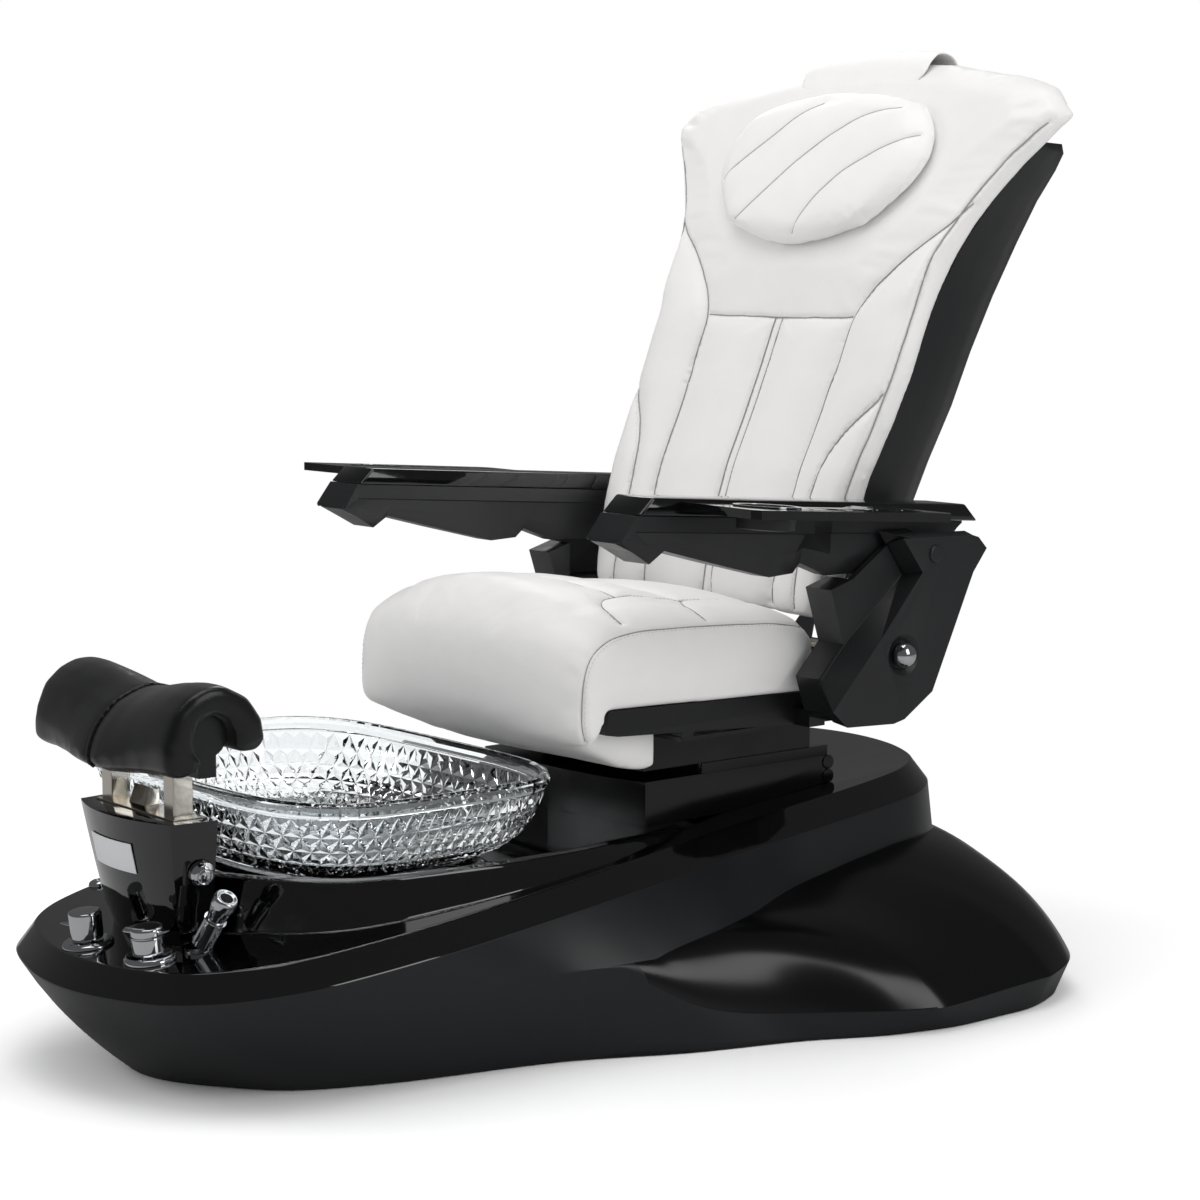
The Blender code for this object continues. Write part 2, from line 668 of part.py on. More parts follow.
def make_tower(root, lift):
    gloss = material("console_gloss_black", (0.013, 0.013, 0.014), 0.15)
    steel = material("bright_plate", (0.72, 0.70, 0.66), 0.25, 1.0)
    rings = []
    for k in range(7):
        share = k / 6
        half = tower_section(share ** 0.8, 0.0)
        ring = []
        for x, y, _ in half:
            low = deck_z(y) + GAP
            ring.append((x, y, low + (TOWER_TOP_Z - low) * share))
        ring += [(-x, y, z) for x, y, z in ring[-2:0:-1]]
        rings.append(ring)
    at = (0, POST_Y, deck_z(POST_Y))
    tower = piece("tower", loft(rings), gloss, at, root, 25)
    plate_z = TOWER_TOP_Z + GAP
    plate = piece("tower_plate", box((-0.100, POST_Y - 0.020, plate_z), (0.100, POST_Y + 0.024, plate_z + TOWER_PLATE)),
                  steel, (0, POST_Y, plate_z), root)
    for side, word in ((1, "left"), (-1, "right")):
        cut(tower, socket(side, POST_FOOT_Z - POST_DROP - 0.005, TOWER_TOP_Z + 0.02), word + "_socket")
        cut(plate, socket(side, TOWER_TOP_Z - 0.01, TOWER_TOP_Z + 0.02), word + "_slot")
    wedge = prism([(POST_Y - 0.002, plate_z), (POST_Y + 0.021, plate_z), (POST_Y + 0.021, plate_z + 0.020),
                   (POST_Y + 0.008, plate_z + 0.026)], -0.045, -0.005)
    join(plate, wedge, "tab")
    bevel_tower = steel
    for side, word in ((1, "left"), (-1, "right")):
        x = side * POST_X
        post = box((x - POST_WIDTH / 2, POST_Y - POST_DEPTH / 2, POST_FOOT_Z),
                   (x + POST_WIDTH / 2, POST_Y + POST_DEPTH / 2, POST_TOP_Z))
        post = piece("post_" + word, post, bevel_tower, (x, POST_Y, POST_FOOT_Z), lift)
        bevel(post, 0.001)
    return tower


def make_label(root):
    plain = material("pale_plate", (0.78, 0.78, 0.80), 0.35)
    front, rear = [], []
    for z in (0.277, 0.297, 0.317):
        row = [(x, tower_face(x, z) - 4 * GAP, z) for x in np.linspace(-0.062, 0.046, 7)]
        front.append([(x, y - 0.0012, z) for x, y, z in row])
        rear.append(row)
    piece("label_plate", slab(front, rear), plain, (0, TOWER_RIDGE_TOP, 0.297), root)


REST_SIDE = [(238, 0.046, 0.0303), (222, 0.070, 0.0303), (205, 0.081, 0.0303), (190, 0.075, 0.0303),
             (175, 0.0713, 0.0303), (147, 0.0688, 0.0303), (122, 0.0674, 0.0303), (100, 0.068, 0.0303),
             (79, 0.0692, 0.0303), (44, 0.070, 0.0303), (16, 0.0728, 0.0303), (-6, 0.0745, 0.0303),
             (-18, 0.066, 0.0303), (-28, 0.045, 0.0303)]
REST_MIDDLE = [0.052, 0.085, 0.100, 0.084, 0.072, 0.057, 0.0486, 0.0485, 0.051, 0.059, 0.068, 0.072, 0.064, 0.045]


def make_footrest(lift):
    black = material("black_vinyl", (0.018, 0.018, 0.019), 0.35)
    steel = material("bracket_black", (0.02, 0.02, 0.02), 0.4)
    rings = []
    stations = [-1.0, -0.985, -0.90, -0.75, -0.5, -0.25, -0.08, 0.0, 0.08, 0.25, 0.5, 0.75, 0.90, 0.985, 1.0]
    for s in stations:
        side = ease(abs(s), 0.0, 0.8)
        shrink = 1.0 if abs(s) < 0.98 else (0.97 if abs(s) < 0.99 else 0.90)
        groove = 0.97 if s == 0.0 else 1.0
        outer, inner = [], []
        for (angle, far, near), middle in zip(REST_SIDE, REST_MIDDLE):
            a = math.radians(angle)
            r = (far * side + middle * (1 - side)) * groove
            r = near + 0.003 + (r - near - 0.003) * shrink
            outer.append((s * REST_HALF, REST_Y + r * math.cos(a), REST_Z + r * math.sin(a)))
            inner.append((s * REST_HALF, REST_Y + near * math.cos(a), REST_Z + near * math.sin(a)))
        rings.append(outer + inner[::-1])
    bm = bmesh.new()
    rows = [[bm.verts.new(p) for p in ring] for ring in rings]
    count = len(rows[0])
    for a, b in zip(rows, rows[1:]):
        for i in range(count):
            k = (i + 1) % count
            bm.faces.new((a[i], a[k], b[k], b[i]))
    half = count // 2
    for row in (rows[0], rows[-1]):
        for i in range(half - 1):
            bm.faces.new((row[i], row[i + 1], row[count - 2 - i], row[count - 1 - i]))
    piece("footrest_cushion", bm, black, (0, REST_Y, REST_Z), lift, 40)
    core = REST_CORE - 0.0018
    outline = [(REST_Y - 0.013, POST_TOP_Z + GAP), (REST_Y + 0.013, POST_TOP_Z + GAP),
               (REST_Y + 0.013, REST_Z - 0.024)]
    for angle in range(-40, 221, 20):
        a = math.radians(angle)
        outline.append((REST_Y + core * math.cos(a), REST_Z + core * math.sin(a)))
    outline.append((REST_Y - 0.013, REST_Z - 0.024))
    piece("footrest_bracket", prism(outline, -0.150, 0.150), steel, (0, REST_Y, POST_TOP_Z), lift)


def make_taps(root):
    chrome = material("tap_chrome", (0.80, 0.80, 0.81), 0.06, 1.0)
    axes = {}
    for name, (x, y), turn in (("hot", TAP_HOT, 25), ("cold", TAP_COLD, 200)):
        ring = [(TAP_RING * 0.62, 0.0075), (TAP_RING * 0.9, 0.005), (TAP_RING, 0.0), (TAP_STEM + 2 * GAP, 0.0),
                (TAP_STEM + 2 * GAP, 0.0075)]
        turned(name + "_escutcheon", ring, chrome, on_deck(x, y), DECK_UP, root, 18, ring=True)
        axis = empty(name + "_tap_axis", on_deck(x, y), root)
        axes[name] = axis
        top, flare = TAP_TOP, TAP_KNOB
        body = [(0, top), (flare - 0.003, top), (flare, top - 0.003), (flare, 0.016), (flare * 0.93, 0.0080),
                (TAP_STEM, 0.0080), (TAP_STEM, -0.0130), (0, -0.0130)]
        knob = turned(name + "_knob", body, chrome, on_deck(x, y), DECK_UP, axis, 16)
        spin = math.radians(turn)
        reach = Vector((math.cos(spin), math.sin(spin), 0.0))
        start = on_deck(x, y) + DECK_UP * (top - 0.008)
        if name == "hot":
            join(knob, rod(start - reach * 0.034, start + reach * 0.034, 0.0060, 12, tip=0.0020), "lever")
        else:
            start -= DECK_UP * 0.014
            join(knob, rod(start, start + reach * 0.046, 0.0060, 12, tip=0.0010), "lever")
    plain = material("valve_brass", (0.55, 0.42, 0.20), 0.35, 1.0)
    for name, (x, y) in (("hot", TAP_HOT), ("cold", TAP_COLD)):
        top = on_deck(x, y, -HULL_WALL - GAP)
        valve = piece("mixing_valve_" + name, rod(top - DECK_UP * 0.058, top, VALVE_RADIUS, 20), plain, top, root)
        join(valve, rod(top - DECK_UP * 0.036, top - DECK_UP * 0.036 + Vector((0, 0.045, 0)), 0.010, 12), "inlet")
        seat = on_deck(x, y, -0.0136)
        cut(valve, rod(seat, top + DECK_UP * 0.01, TAP_STEM + 2 * GAP, 16), "stem_bore")
    disc = [(0, 0.007), (0.008, 0.0065), (0.013, 0.004), (0.0145, 0.0), (0, 0.0)]
    turned("air_nozzle", disc, chrome, on_deck(*NOZZLE_AT), DECK_UP, root, 16)


def make_sprayer(root):
    """The cradle stands on the deck; the hand shower drops into its ring along the ring's axis."""
    chrome = material("spray_chrome", (0.80, 0.80, 0.81), 0.08, 1.0)
    foot = on_deck(*SPRAY_AT)
    lean = Vector((0.58, 0.10, 0.81)).normalized()
    ring_at = foot + lean * 0.045
    holder = piece("spray_holder", rod(foot, foot + DECK_UP * 0.006, 0.019, 24), chrome, foot, root)
    join(holder, rod(foot + lean * 0.0125, ring_at + lean * 0.010, 0.0150, 24), "collar")
    cut(holder, rod(foot + lean * 0.0095, ring_at + lean * 0.03, 0.0106, 24), "bore")
    axis = empty("sprayer_axis", ring_at, root)
    profile = [(0, 0.050), (0.010, 0.049), (0.0150, 0.044), (0.0165, 0.036), (0.0150, 0.026), (0.0118, 0.0106),
               (0.0100, 0.0106), (0.0100, -0.0340), (0, -0.0340)]
    turned("hand_sprayer", profile, chrome, ring_at, lean, axis, 16)


def make_diverter(root, tower):
    chrome = material("diverter_chrome", (0.80, 0.80, 0.81), 0.06, 1.0)
    y, z = DIVERTER_AT
    foot_z = deck_z(TOWER_RIDGE_FOOT)
    share = ((z - foot_z) / (TOWER_TOP_Z - foot_z)) ** 0.8
    half = TOWER_HALF_FOOT + (TOWER_HALF_TOP - 0.009 - TOWER_HALF_FOOT) * share
    ridge = TOWER_RIDGE_FOOT + (TOWER_RIDGE_TOP - TOWER_RIDGE_FOOT) * share
    x = half + 0.009 * (y - ridge) / (TOWER_REAR - ridge)
    along = Vector((0.009, TOWER_REAR - ridge, 0))
    rise = Vector((TOWER_HALF_TOP - 0.009 - TOWER_HALF_FOOT, 0, TOWER_TOP_Z - foot_z))
    out = along.cross(rise).normalized()
    at = Vector((x, y, z)) + out * 0.0022
    join(tower, rod(at - out * 0.012, at - out * GAP, 0.0150, 20), "diverter_boss")
    axis = empty("diverter_axis", at, root)
    profile = [(0, 0.016), (0.008, 0.0150), (0.0135, 0.0115), (0.0165, 0.006), (0.0178, 0.0008), (0.0178, 0.0),
               (0, 0.0)]
    turned("diverter_knob", profile, chrome, at, out, axis, 20)


# ---------------------------------------------------------------- pedestal and seat slide

def make_pedestal(root):
    gloss = material("pedestal_gloss_black", (0.012, 0.012, 0.013), 0.14)
    plan = [(PED_HALF * math.sin(math.radians(a)), PED_FRONT - PED_BULGE * (1 - math.sin(math.radians(a)) ** 2))
            for a in range(-90, 91, 15)]
    plan += [(PED_HALF, PED_REAR), (-PED_HALF, PED_REAR)]
    meet = DECK_FRONT + (PLATFORM_Z - DECK_FRONT_Z) / DECK_SLOPE
    bm = bmesh.new()
    face = bm.faces.new([bm.verts.new((x, y, PLATFORM_Z + GAP)) for x, y in plan])
    more = bmesh.ops.extrude_face_region(bm, geom=[face])["geom"]
    top = [g for g in more if isinstance(g, bmesh.types.BMVert)]
    bmesh.ops.translate(bm, verts=top, vec=(0, 0, PED_TOP_Z - PLATFORM_Z - GAP))
    base = piece("pedestal", bm, gloss, (0, PED_FRONT, PLATFORM_Z), root, 25)
    for z in (PED_TOP_Z - ROLL_RADIUS, PED_TOP_Z - 3 * ROLL_RADIUS):
        join(base, rod((-PED_HALF - 0.002, PED_REAR, z), (PED_HALF + 0.002, PED_REAR, z), ROLL_RADIUS, 16),
             "roll_%d" % round(z * 1000))
    for side in (1, -1):
        inner, outer = side * (PED_HALF - RAIL_WIDTH), side * (PED_HALF - 0.001)
        rail = box((min(inner, outer), RAIL_FRONT, PED_TOP_Z - 0.003), (max(inner, outer), PED_REAR, SLIDE_Z - GAP))
        join(base, rail, "rail_left" if side > 0 else "rail_right")
    under = prism([(meet, PLATFORM_Z - 0.05), (PED_REAR + 0.05, PLATFORM_Z - 0.05),
                   (PED_REAR + 0.05, deck_z(PED_REAR + 0.05) + GAP), (meet, PLATFORM_Z + GAP)],
                  -PED_HALF - 0.05, PED_HALF + 0.05)
    cut(base, under, "deck_slope")
    room = box((-PED_HALF + 0.014, PED_FRONT + PED_WALL, PLATFORM_Z - 0.02),
               (PED_HALF - 0.014, PED_REAR - 0.012, PED_TOP_Z - PED_WALL))
    cut(base, room, "room")
    slot = box((-0.012, NUT_Y - 0.014, PED_TOP_Z - 0.02), (0.012, NUT_Y + SLIDE_TRAVEL + 0.028, PED_TOP_Z + 0.02))
    cut(base, slot, "slot")


def make_slide(root, seat):
    black = material("slide_black", (0.012, 0.012, 0.012), 0.35)
    steel = material("screw_steel", (0.55, 0.55, 0.56), 0.3, 1.0)
    dark = material("motor_grey", (0.12, 0.12, 0.13), 0.5)
    carriage = box((-PED_HALF + 0.001, SLIDE_FRONT, SLIDE_Z), (PED_HALF - 0.001, SLIDE_REAR, SLIDE_TOP_Z))
    carriage = piece("slide_box", carriage, black, (0, SLIDE_FRONT, SLIDE_Z), seat)
    cut(carriage, box((-PED_HALF + RAIL_WIDTH, SLIDE_FRONT + PED_WALL, SLIDE_Z - 0.02),
                      (PED_HALF - RAIL_WIDTH, SLIDE_REAR - PED_WALL, SLIDE_TOP_Z - PED_WALL)), "room")
    join(carriage, box((-0.006, NUT_Y, SCREW_Z), (0.006, NUT_Y + 0.014, SLIDE_TOP_Z - 0.002)), "tongue")
    join(carriage, box((-0.011, NUT_Y, SCREW_Z - 0.011), (0.011, NUT_Y + 0.014, SCREW_Z + 0.011)), "nut")
    cut(carriage, rod((0, NUT_Y - 0.01, SCREW_Z), (0, NUT_Y + 0.03, SCREW_Z), SCREW_RADIUS + 2 * GAP, 16), "thread")
    motor_end = 0.130
    motor = box((-0.026, PED_FRONT + PED_WALL + 0.003, PLATFORM_Z + GAP), (0.026, motor_end - 0.020, PED_TOP_Z - 0.010))
    motor = piece("slide_motor", motor, dark, (0, motor_end, SCREW_Z), root)
    join(motor, rod((0, motor_end - 0.03, SCREW_Z), (0, motor_end, SCREW_Z), 0.018, 20), "gearbox")
    bevel(motor, 0.002)
    shaft = rod((0, motor_end + GAP, SCREW_Z), (0, PED_REAR - 0.012 - GAP, SCREW_Z), SCREW_RADIUS, 16)
    piece("lead_screw", shaft, steel, (0, motor_end, SCREW_Z), root)


def rail_top(y):
    return RAIL_TOP_FRONT + (RAIL_TOP_REAR - RAIL_TOP_FRONT) * (y - RAIL_FRONT_Y) / (RAIL_REAR_Y - RAIL_FRONT_Y)


def make_seat_frame(seat):
    black = material("frame_black", (0.014, 0.014, 0.014), 0.4)
    low = SLIDE_TOP_Z + GAP
    top = low + FRAME_PLATE
    frame = box((-FRAME_HALF + 0.004, 0.060, low), (FRAME_HALF - 0.004, 0.345, top))
    frame = piece("seat_frame", frame, black, (0, 0.06, low), seat)
    outline = [(RAIL_FRONT_Y, RAIL_TOP_FRONT - 0.033), (RAIL_FRONT_Y + 0.006, rail_top(RAIL_FRONT_Y + 0.006)),
               (RAIL_REAR_Y, RAIL_TOP_REAR), (RAIL_REAR_Y, low + 0.0015), (RAIL_FRONT_Y + 0.022, RAIL_TOP_FRONT - 0.037)]
    for side, word in ((1, "left"), (-1, "right")):
        join(frame, prism(outline, side * (FRAME_HALF - FRAME_BEAM), side * FRAME_HALF), word + "_rail")
    reach = SHELL_INNER - GAP
    join(frame, box((-reach, 0.268, low + 0.003), (reach, 0.298, low + 0.027)), "rear_beam")
    join(frame, box((-FRAME_HALF + 0.004, 0.062, low + 0.003), (FRAME_HALF - 0.004, 0.082, low + 0.040)), "front_beam")


SEAT_CENTRE = [(0.306, 0.458), (0.307, 0.50), (0.306, 0.540), (0.290, 0.566), (0.22, 0.578), (0.14, 0.590),
               (0.06, 0.603), (-0.02, 0.615), (-0.075, 0.613), (-0.112, 0.597), (-0.133, 0.568), (-0.144, 0.53),
               (-0.146, 0.49), (-0.140, 0.45), (-0.126, 0.412), (-0.100, 0.386), (-0.070, 0.374), (-0.02, 0.363),
               (0.028, 0.354), (0.044, 0.360), (0.044, 0.444), (0.054, 0.458)]
SEAT_EDGE = [(0.300, 0.4452), (0.302, 0.48), (0.301, 0.515), (0.286, 0.538), (0.22, 0.549), (0.14, 0.553),
             (0.06, 0.557), (-0.02, 0.558), (-0.070, 0.552), (-0.100, 0.535), (-0.113, 0.512), (-0.118, 0.485),
             (-0.119, 0.462), (-0.120, 0.438), (-0.118, 0.420), (-0.110, 0.409), (-0.100, 0.406), (-0.094, 0.414),
             (-0.089, 0.428), (-0.085, 0.446), (-0.0775, 0.4545), (0.100, 0.450)]


def seat_section(x):
    """The cushion's outline at one x: a thick front roll that drops between the frame's rails."""
    share = abs(x) / SEAT_HALF
    soft = ease(share, 0.0, 1.0) ** 1.6
    over = ease(abs(x), FRAME_HALF - FRAME_BEAM - 0.018, FRAME_HALF - FRAME_BEAM - 0.003)
    channel = 0.004 * math.exp(-((abs(x) - 0.185) / 0.010) ** 2)
    ring = []
    for k, ((cy, cz), (ey, ez)) in enumerate(zip(SEAT_CENTRE, SEAT_EDGE)):
        w = over if k in (0, 17, 18, 19, 20, 21) else soft
        y, z = cy + (ey - cy) * w, cz + (ez - cz) * w
        if 4 <= k <= 8:
            z -= channel
        if k in (5, 7) and abs(x) < 0.18:
            z -= 0.004
        if k in (0, 20, 21) and w > 0.99:
            z = rail_top(y) + GAP * 2
        ring.append((x, y, z))
    return ring


def make_seat_cushion(seat):
    leather = material("white_seat_leather", (0.80, 0.79, 0.78), 0.45)
    stations = [0.0, 0.06, 0.12, 0.165, 0.185, 0.205, 0.2225, 0.2405, 0.256, 0.266, SEAT_HALF]
    stations = [-x for x in stations[:0:-1]] + stations
    rings = []
    for x in stations:
        ring = seat_section(x)
        if abs(x) == SEAT_HALF:
            middle = Vector((0, 0.09, 0.50))
            ring = [(x, y + (middle.y - y) * 0.03, z + (middle.z - z) * 0.10) for _, y, z in ring]
        rings.append(ring)
    bm = bmesh.new()
    rows = [[bm.verts.new(p) for p in ring] for ring in rings]
    count = len(rows[0])
    for a, b in zip(rows, rows[1:]):
        for i in range(count):
            k = (i + 1) % count
            bm.faces.new((a[i], a[k], b[k], b[i]))
    for row in (rows[0], rows[-1]):
        bm.faces.new(row)
    bmesh.ops.triangulate(bm, faces=[f for f in bm.faces if len(f.verts) > 4])
    piece("seat_cushion", bm, leather, (0, 0, CUSHION_BASE_Z), seat, 50)


def make_side(side, word, seat):
    """A faceted panel: an inner block, an outer wing with a chamfered front, and a pocket the arm swings in."""
    matte = material("matte_black_" + word, (0.022, 0.022, 0.023), 0.5)
    block = [(0.258, 0.600), (0.300, 0.6125), (0.3655, 0.6555), (0.3955, 0.6135), (0.420, 0.600), (0.495, 0.604),
             (0.423, 0.4535), (0.3715, 0.4175), (0.345, 0.4130), (0.2685, 0.4145), (0.257, 0.426),
             (0.2405, 0.476), (0.2835, 0.522)]
    shell = piece("side_shell_" + word, prism(block, side * SHELL_INNER, side * SHELL_MID), matte,
                  (side * SHELL_INNER, ARM_PIVOT_Y, ARM_PIVOT_Z), seat, 15)
    mid = [(0.366, 0.657), (0.397, 0.6145), (0.282, 0.522), (0.239, 0.476), (0.256, 0.425), (0.268, 0.413),
           (0.345, 0.4115), (0.372, 0.416), (0.424, 0.452), (0.503, 0.610), (0.530, 0.643), (0.512, 0.668),
           (0.498, 0.678), (0.352, 0.677)]
    out = [(0.3655, 0.6680), (0.4045, 0.6170), (0.323, 0.5272), (0.274, 0.4766), (0.2330, 0.4345), (0.261, 0.4105),
           (0.351, 0.4065), (0.372, 0.411), (0.427, 0.4455), (0.507, 0.6105), (0.534, 0.6435), (0.517, 0.6605),
           (0.505, 0.6640), (0.380, 0.6670)]
    wing = loft([[(side * (SHELL_MID - 0.004), y, z) for y, z in mid], [(side * SHELL_OUTER, y, z) for y, z in out]], flat=True)
    join(shell, wing, "wing")
    a, b = sorted((side * 0.25, side * (SHELL_MID - 0.0105)))
    cut(shell, box((a, 0.2995, 0.558), (b, 0.60, 0.72)), "arm_pocket")
    a, b = sorted((side * 0.25, side * (SHELL_OUTER - SHELL_PLATE)))
    cut(shell, box((a - 0.01, 0.4065, 0.557), (b, 0.61, 0.73)) if side > 0 else
        box((a, 0.4065, 0.557), (b + 0.01, 0.61, 0.73)), "swing_pocket")
    at = Vector((side * SHELL_OUTER, DOME_Y, DOME_Z))
    ray = Vector((side, 0, 0))
    cut(shell, rod(at - ray * 0.008, at + ray * 0.012, 0.0200, 28, tip=0.045), "dish")
    cut(shell, rod(at - ray * 0.036, at + ray * 0.02, STEM_RADIUS + GAP, 16), "stem_bore")
    pivot = Vector((side * SHELL_OUTER, ARM_PIVOT_Y, ARM_PIVOT_Z))
    cut(shell, rod(pivot - ray * 0.03, pivot + ray * 0.03, PIN_BORE, 20), "pin_bore")
    chrome = material("ball_chrome_" + word, (0.80, 0.80, 0.81), 0.05, 1.0)
    axis = empty("control_axis_" + word, at, seat)
    dome = []
    for angle in range(90, -1, -18):
        a = math.radians(angle)
        dome.append((DOME_RADIUS * math.cos(a), 0.002 + 0.015 * math.sin(a)))
    dome[0] = (0.0, dome[0][1])
    dome += [(DOME_RADIUS - 0.003, -0.0040), (STEM_RADIUS, -0.0040), (STEM_RADIUS, -0.0320), (0, -0.0320)]
    turned("control_knob_" + word, dome, chrome, at, (side, 0, 0), axis, 18)


ARM_STATIONS = [
    # y, top, foot, outer x at the foot, inner x at the foot
    (-0.128, 0.6950, 0.6900, 0.352, 0.2880), (-0.104, 0.7255, 0.6780, 0.356, 0.2850),
    (-0.072, 0.7235, 0.6590, 0.352, 0.2880), (-0.046, 0.7215, 0.6750, 0.352, 0.2880),
    (0.050, 0.7145, 0.6500, 0.348, 0.2900), (0.150, 0.7075, 0.6250, 0.342, 0.2930),
    (0.197, 0.7040, 0.6270, 0.338, 0.2930), (0.212, 0.7030, 0.6400, 0.336, 0.2920),
    (0.270, 0.6990, 0.6180, 0.330, 0.2920), (0.300, 0.6968, 0.6180, 0.330, 0.2920),
    (0.400, 0.6898, 0.6130, 0.330, 0.2920), (0.470, 0.6849, 0.6180, 0.330, 0.2920),
    (0.505, 0.6825, 0.6450, 0.330, 0.2900), (0.528, 0.6810, 0.6740, 0.334, 0.2860)]


def make_arm(side, word, axis):
    matte = material("arm_matte_" + word, (0.020, 0.020, 0.021), 0.5)
    gloss = material("arm_gloss_" + word, (0.010, 0.010, 0.011), 0.08)
    rings = []
    for y, top, foot, out, inn in ARM_STATIONS:
        line = top - min(0.020, (top - foot) * 0.6)
        wide = ARM_OUTER - 0.003 if y < 0.24 else SHELL_MID - 0.0115
        ridge = 0.004 if y < -0.09 else 0.0
        ring = [(ARM_INNER + 0.002, top), (wide, top), (wide, line), (wide - 0.003, line - 0.002),
                (out, max(foot + 0.012, (line + foot) / 2)), (out - 0.006, foot), (inn + 0.006, foot),
                (inn, max(foot + 0.012, (line + foot) / 2)), (ARM_INNER + 0.003, line - 0.002), (ARM_INNER, line)]
        ring = [(x, min(max(z, foot), top)) for x, z in ring]
        rings.append([(side * x, y - ridge * (1 - abs(2 * (x - 0.323) / 0.079)), z) for x, z in ring])
    at = (side * ARM_INNER, ARM_PIVOT_Y, ARM_PIVOT_Z)
    arm = piece("arm_" + word, loft(rings), matte, at, axis, 20)
    boss = rod((side * 0.325, ARM_PIVOT_Y, ARM_PIVOT_Z), (side * (SHELL_OUTER - SHELL_PLATE - GAP), ARM_PIVOT_Y,
                                                          ARM_PIVOT_Z), 0.021, 24)
    join(arm, boss, "boss")
    pin = [(0, 0.0032), (0.0115, 0.0032), (0.0128, 0.0020), (0.0128, GAP), (PIN_BORE - GAP, GAP),
           (PIN_BORE - GAP, -SHELL_PLATE), (0, -SHELL_PLATE)]
    turned("pivot_cap_" + word, pin, matte, (side * SHELL_OUTER, ARM_PIVOT_Y, ARM_PIVOT_Z), (side, 0, 0), axis, 16)
    fall = math.tan(math.radians(4.0))

    def cap_foot(y):
        return 0.7258 - fall * (y + 0.102)

    outline = [(-0.102, cap_foot(-0.102)), (-0.078, cap_foot(-0.078) + CAP_THICK), (0.505, cap_foot(0.505) + CAP_THICK),
               (0.531, cap_foot(0.531))]
    a, b = side * ARM_INNER, side * ARM_OUTER
    cap = piece("arm_cap_" + word, prism(outline, a, b), gloss, at, axis, 20)
    bevel(cap, 0.003, 2, 40)
    return cap_foot


def make_tray(side, word, axis, cap_foot):
    gloss = material("tray_gloss_" + word, (0.010, 0.010, 0.011), 0.06)
    bright = material("cup_chrome_" + word, (0.80, 0.80, 0.81), 0.08, 1.0)
    fall = math.tan(math.radians(4.0))
    inner = ARM_OUTER + GAP
    rise = CAP_THICK - 0.004

    def top_z(y):
        return cap_foot(y) + rise

    plan = [(inner, TRAY_FRONT + 0.006), (TRAY_OUT - 0.012, TRAY_FRONT - 0.008), (TRAY_OUT, TRAY_FRONT),
            (TRAY_OUT, TRAY_BACK - 0.012), (TRAY_OUT - 0.014, TRAY_BACK), (inner, TRAY_BACK)]
    bm = bmesh.new()
    face = bm.faces.new([bm.verts.new((side * x, y, top_z(y) - TRAY_THICK)) for x, y in plan])
    more = bmesh.ops.extrude_face_region(bm, geom=[face])["geom"]
    bmesh.ops.translate(bm, verts=[g for g in more if isinstance(g, bmesh.types.BMVert)], vec=(0, 0, TRAY_THICK))
    hinge = (side * inner, (TRAY_FRONT + TRAY_BACK) / 2, top_z((TRAY_FRONT + TRAY_BACK) / 2))
    tray = piece("tray_" + word, bm, gloss, hinge, axis, 20)
    up = Vector((0, fall, 1)).normalized()
    cup = Vector((side * (inner + TRAY_OUT) / 2, CUP_Y, top_z(CUP_Y)))
    cut(tray, rod(cup - up * 0.03, cup + up * 0.03, CUP_RADIUS, 32), "cup_hole")
    for k in range(4):
        y = 0.130 + 0.047 * k
        spot = Vector((side * (TRAY_OUT - 0.048), y, top_z(y)))
        cut(tray, rod(spot - up * 0.004, spot + up * 0.01, 0.0175, 16), "bottle_%d" % (k + 1))
    slot = Vector((side * (inner + 0.050), 0.200, top_z(0.200)))
    cut(tray, box(slot - Vector((0.026, 0.085, 0.004)), slot + Vector((0.026, 0.085, 0.03))), "tool_recess")
    r = CUP_RADIUS - 2 * GAP
    wall = 0.0022
    ring = [(r + 0.006, 0.0015 + GAP), (r + 0.006, GAP), (r, GAP), (r, -CUP_DEPTH), (r - 0.014, -CUP_DEPTH - 0.002),
            (r - 0.014, -CUP_DEPTH), (r - wall, -CUP_DEPTH + 0.002), (r - wall, 0.0015 + GAP)]
    turned("cup_ring_" + word, ring, bright, cup, up, axis, 20, ring=True)


# ---------------------------------------------------------------- back

back_line = curve_through([(z, y) for z, y in BACK_LINE])
back_half = curve_through(BACK_WIDTHS)
shell_depth = curve_through(SHELL_DEPTHS)


def back_top(x):
    round_off = BACK_CORNER_ROUND * ease(abs(x), 0.37, BACK_TOP_HALF)
    return BACK_TOP_Z - BACK_CORNER_DROP * (x / BACK_TOP_HALF) ** 2 - round_off


def back_point(u, v):
    """The plain front of the back at u across and v up, before its panels swell."""
    x = u * back_half(v)
    z = BACK_FOOT_Z + v * (back_top(x) - BACK_FOOT_Z)
    return Vector((x, back_line(z), z))


def seam_x(z):
    """The seam between the middle panels and the side bolsters, which leaves for the wing above SEAM_Z."""
    if z <= SEAM_Z:
        return SEAM_FOOT_X + (SEAM_TOP_X - SEAM_FOOT_X) * (z - BACK_FOOT_Z) / (SEAM_Z - BACK_FOOT_Z)
    t = min((z - SEAM_Z) / 0.161, 1.0)
    return SEAM_TOP_X + (0.336 - SEAM_TOP_X) * t ** 1.25


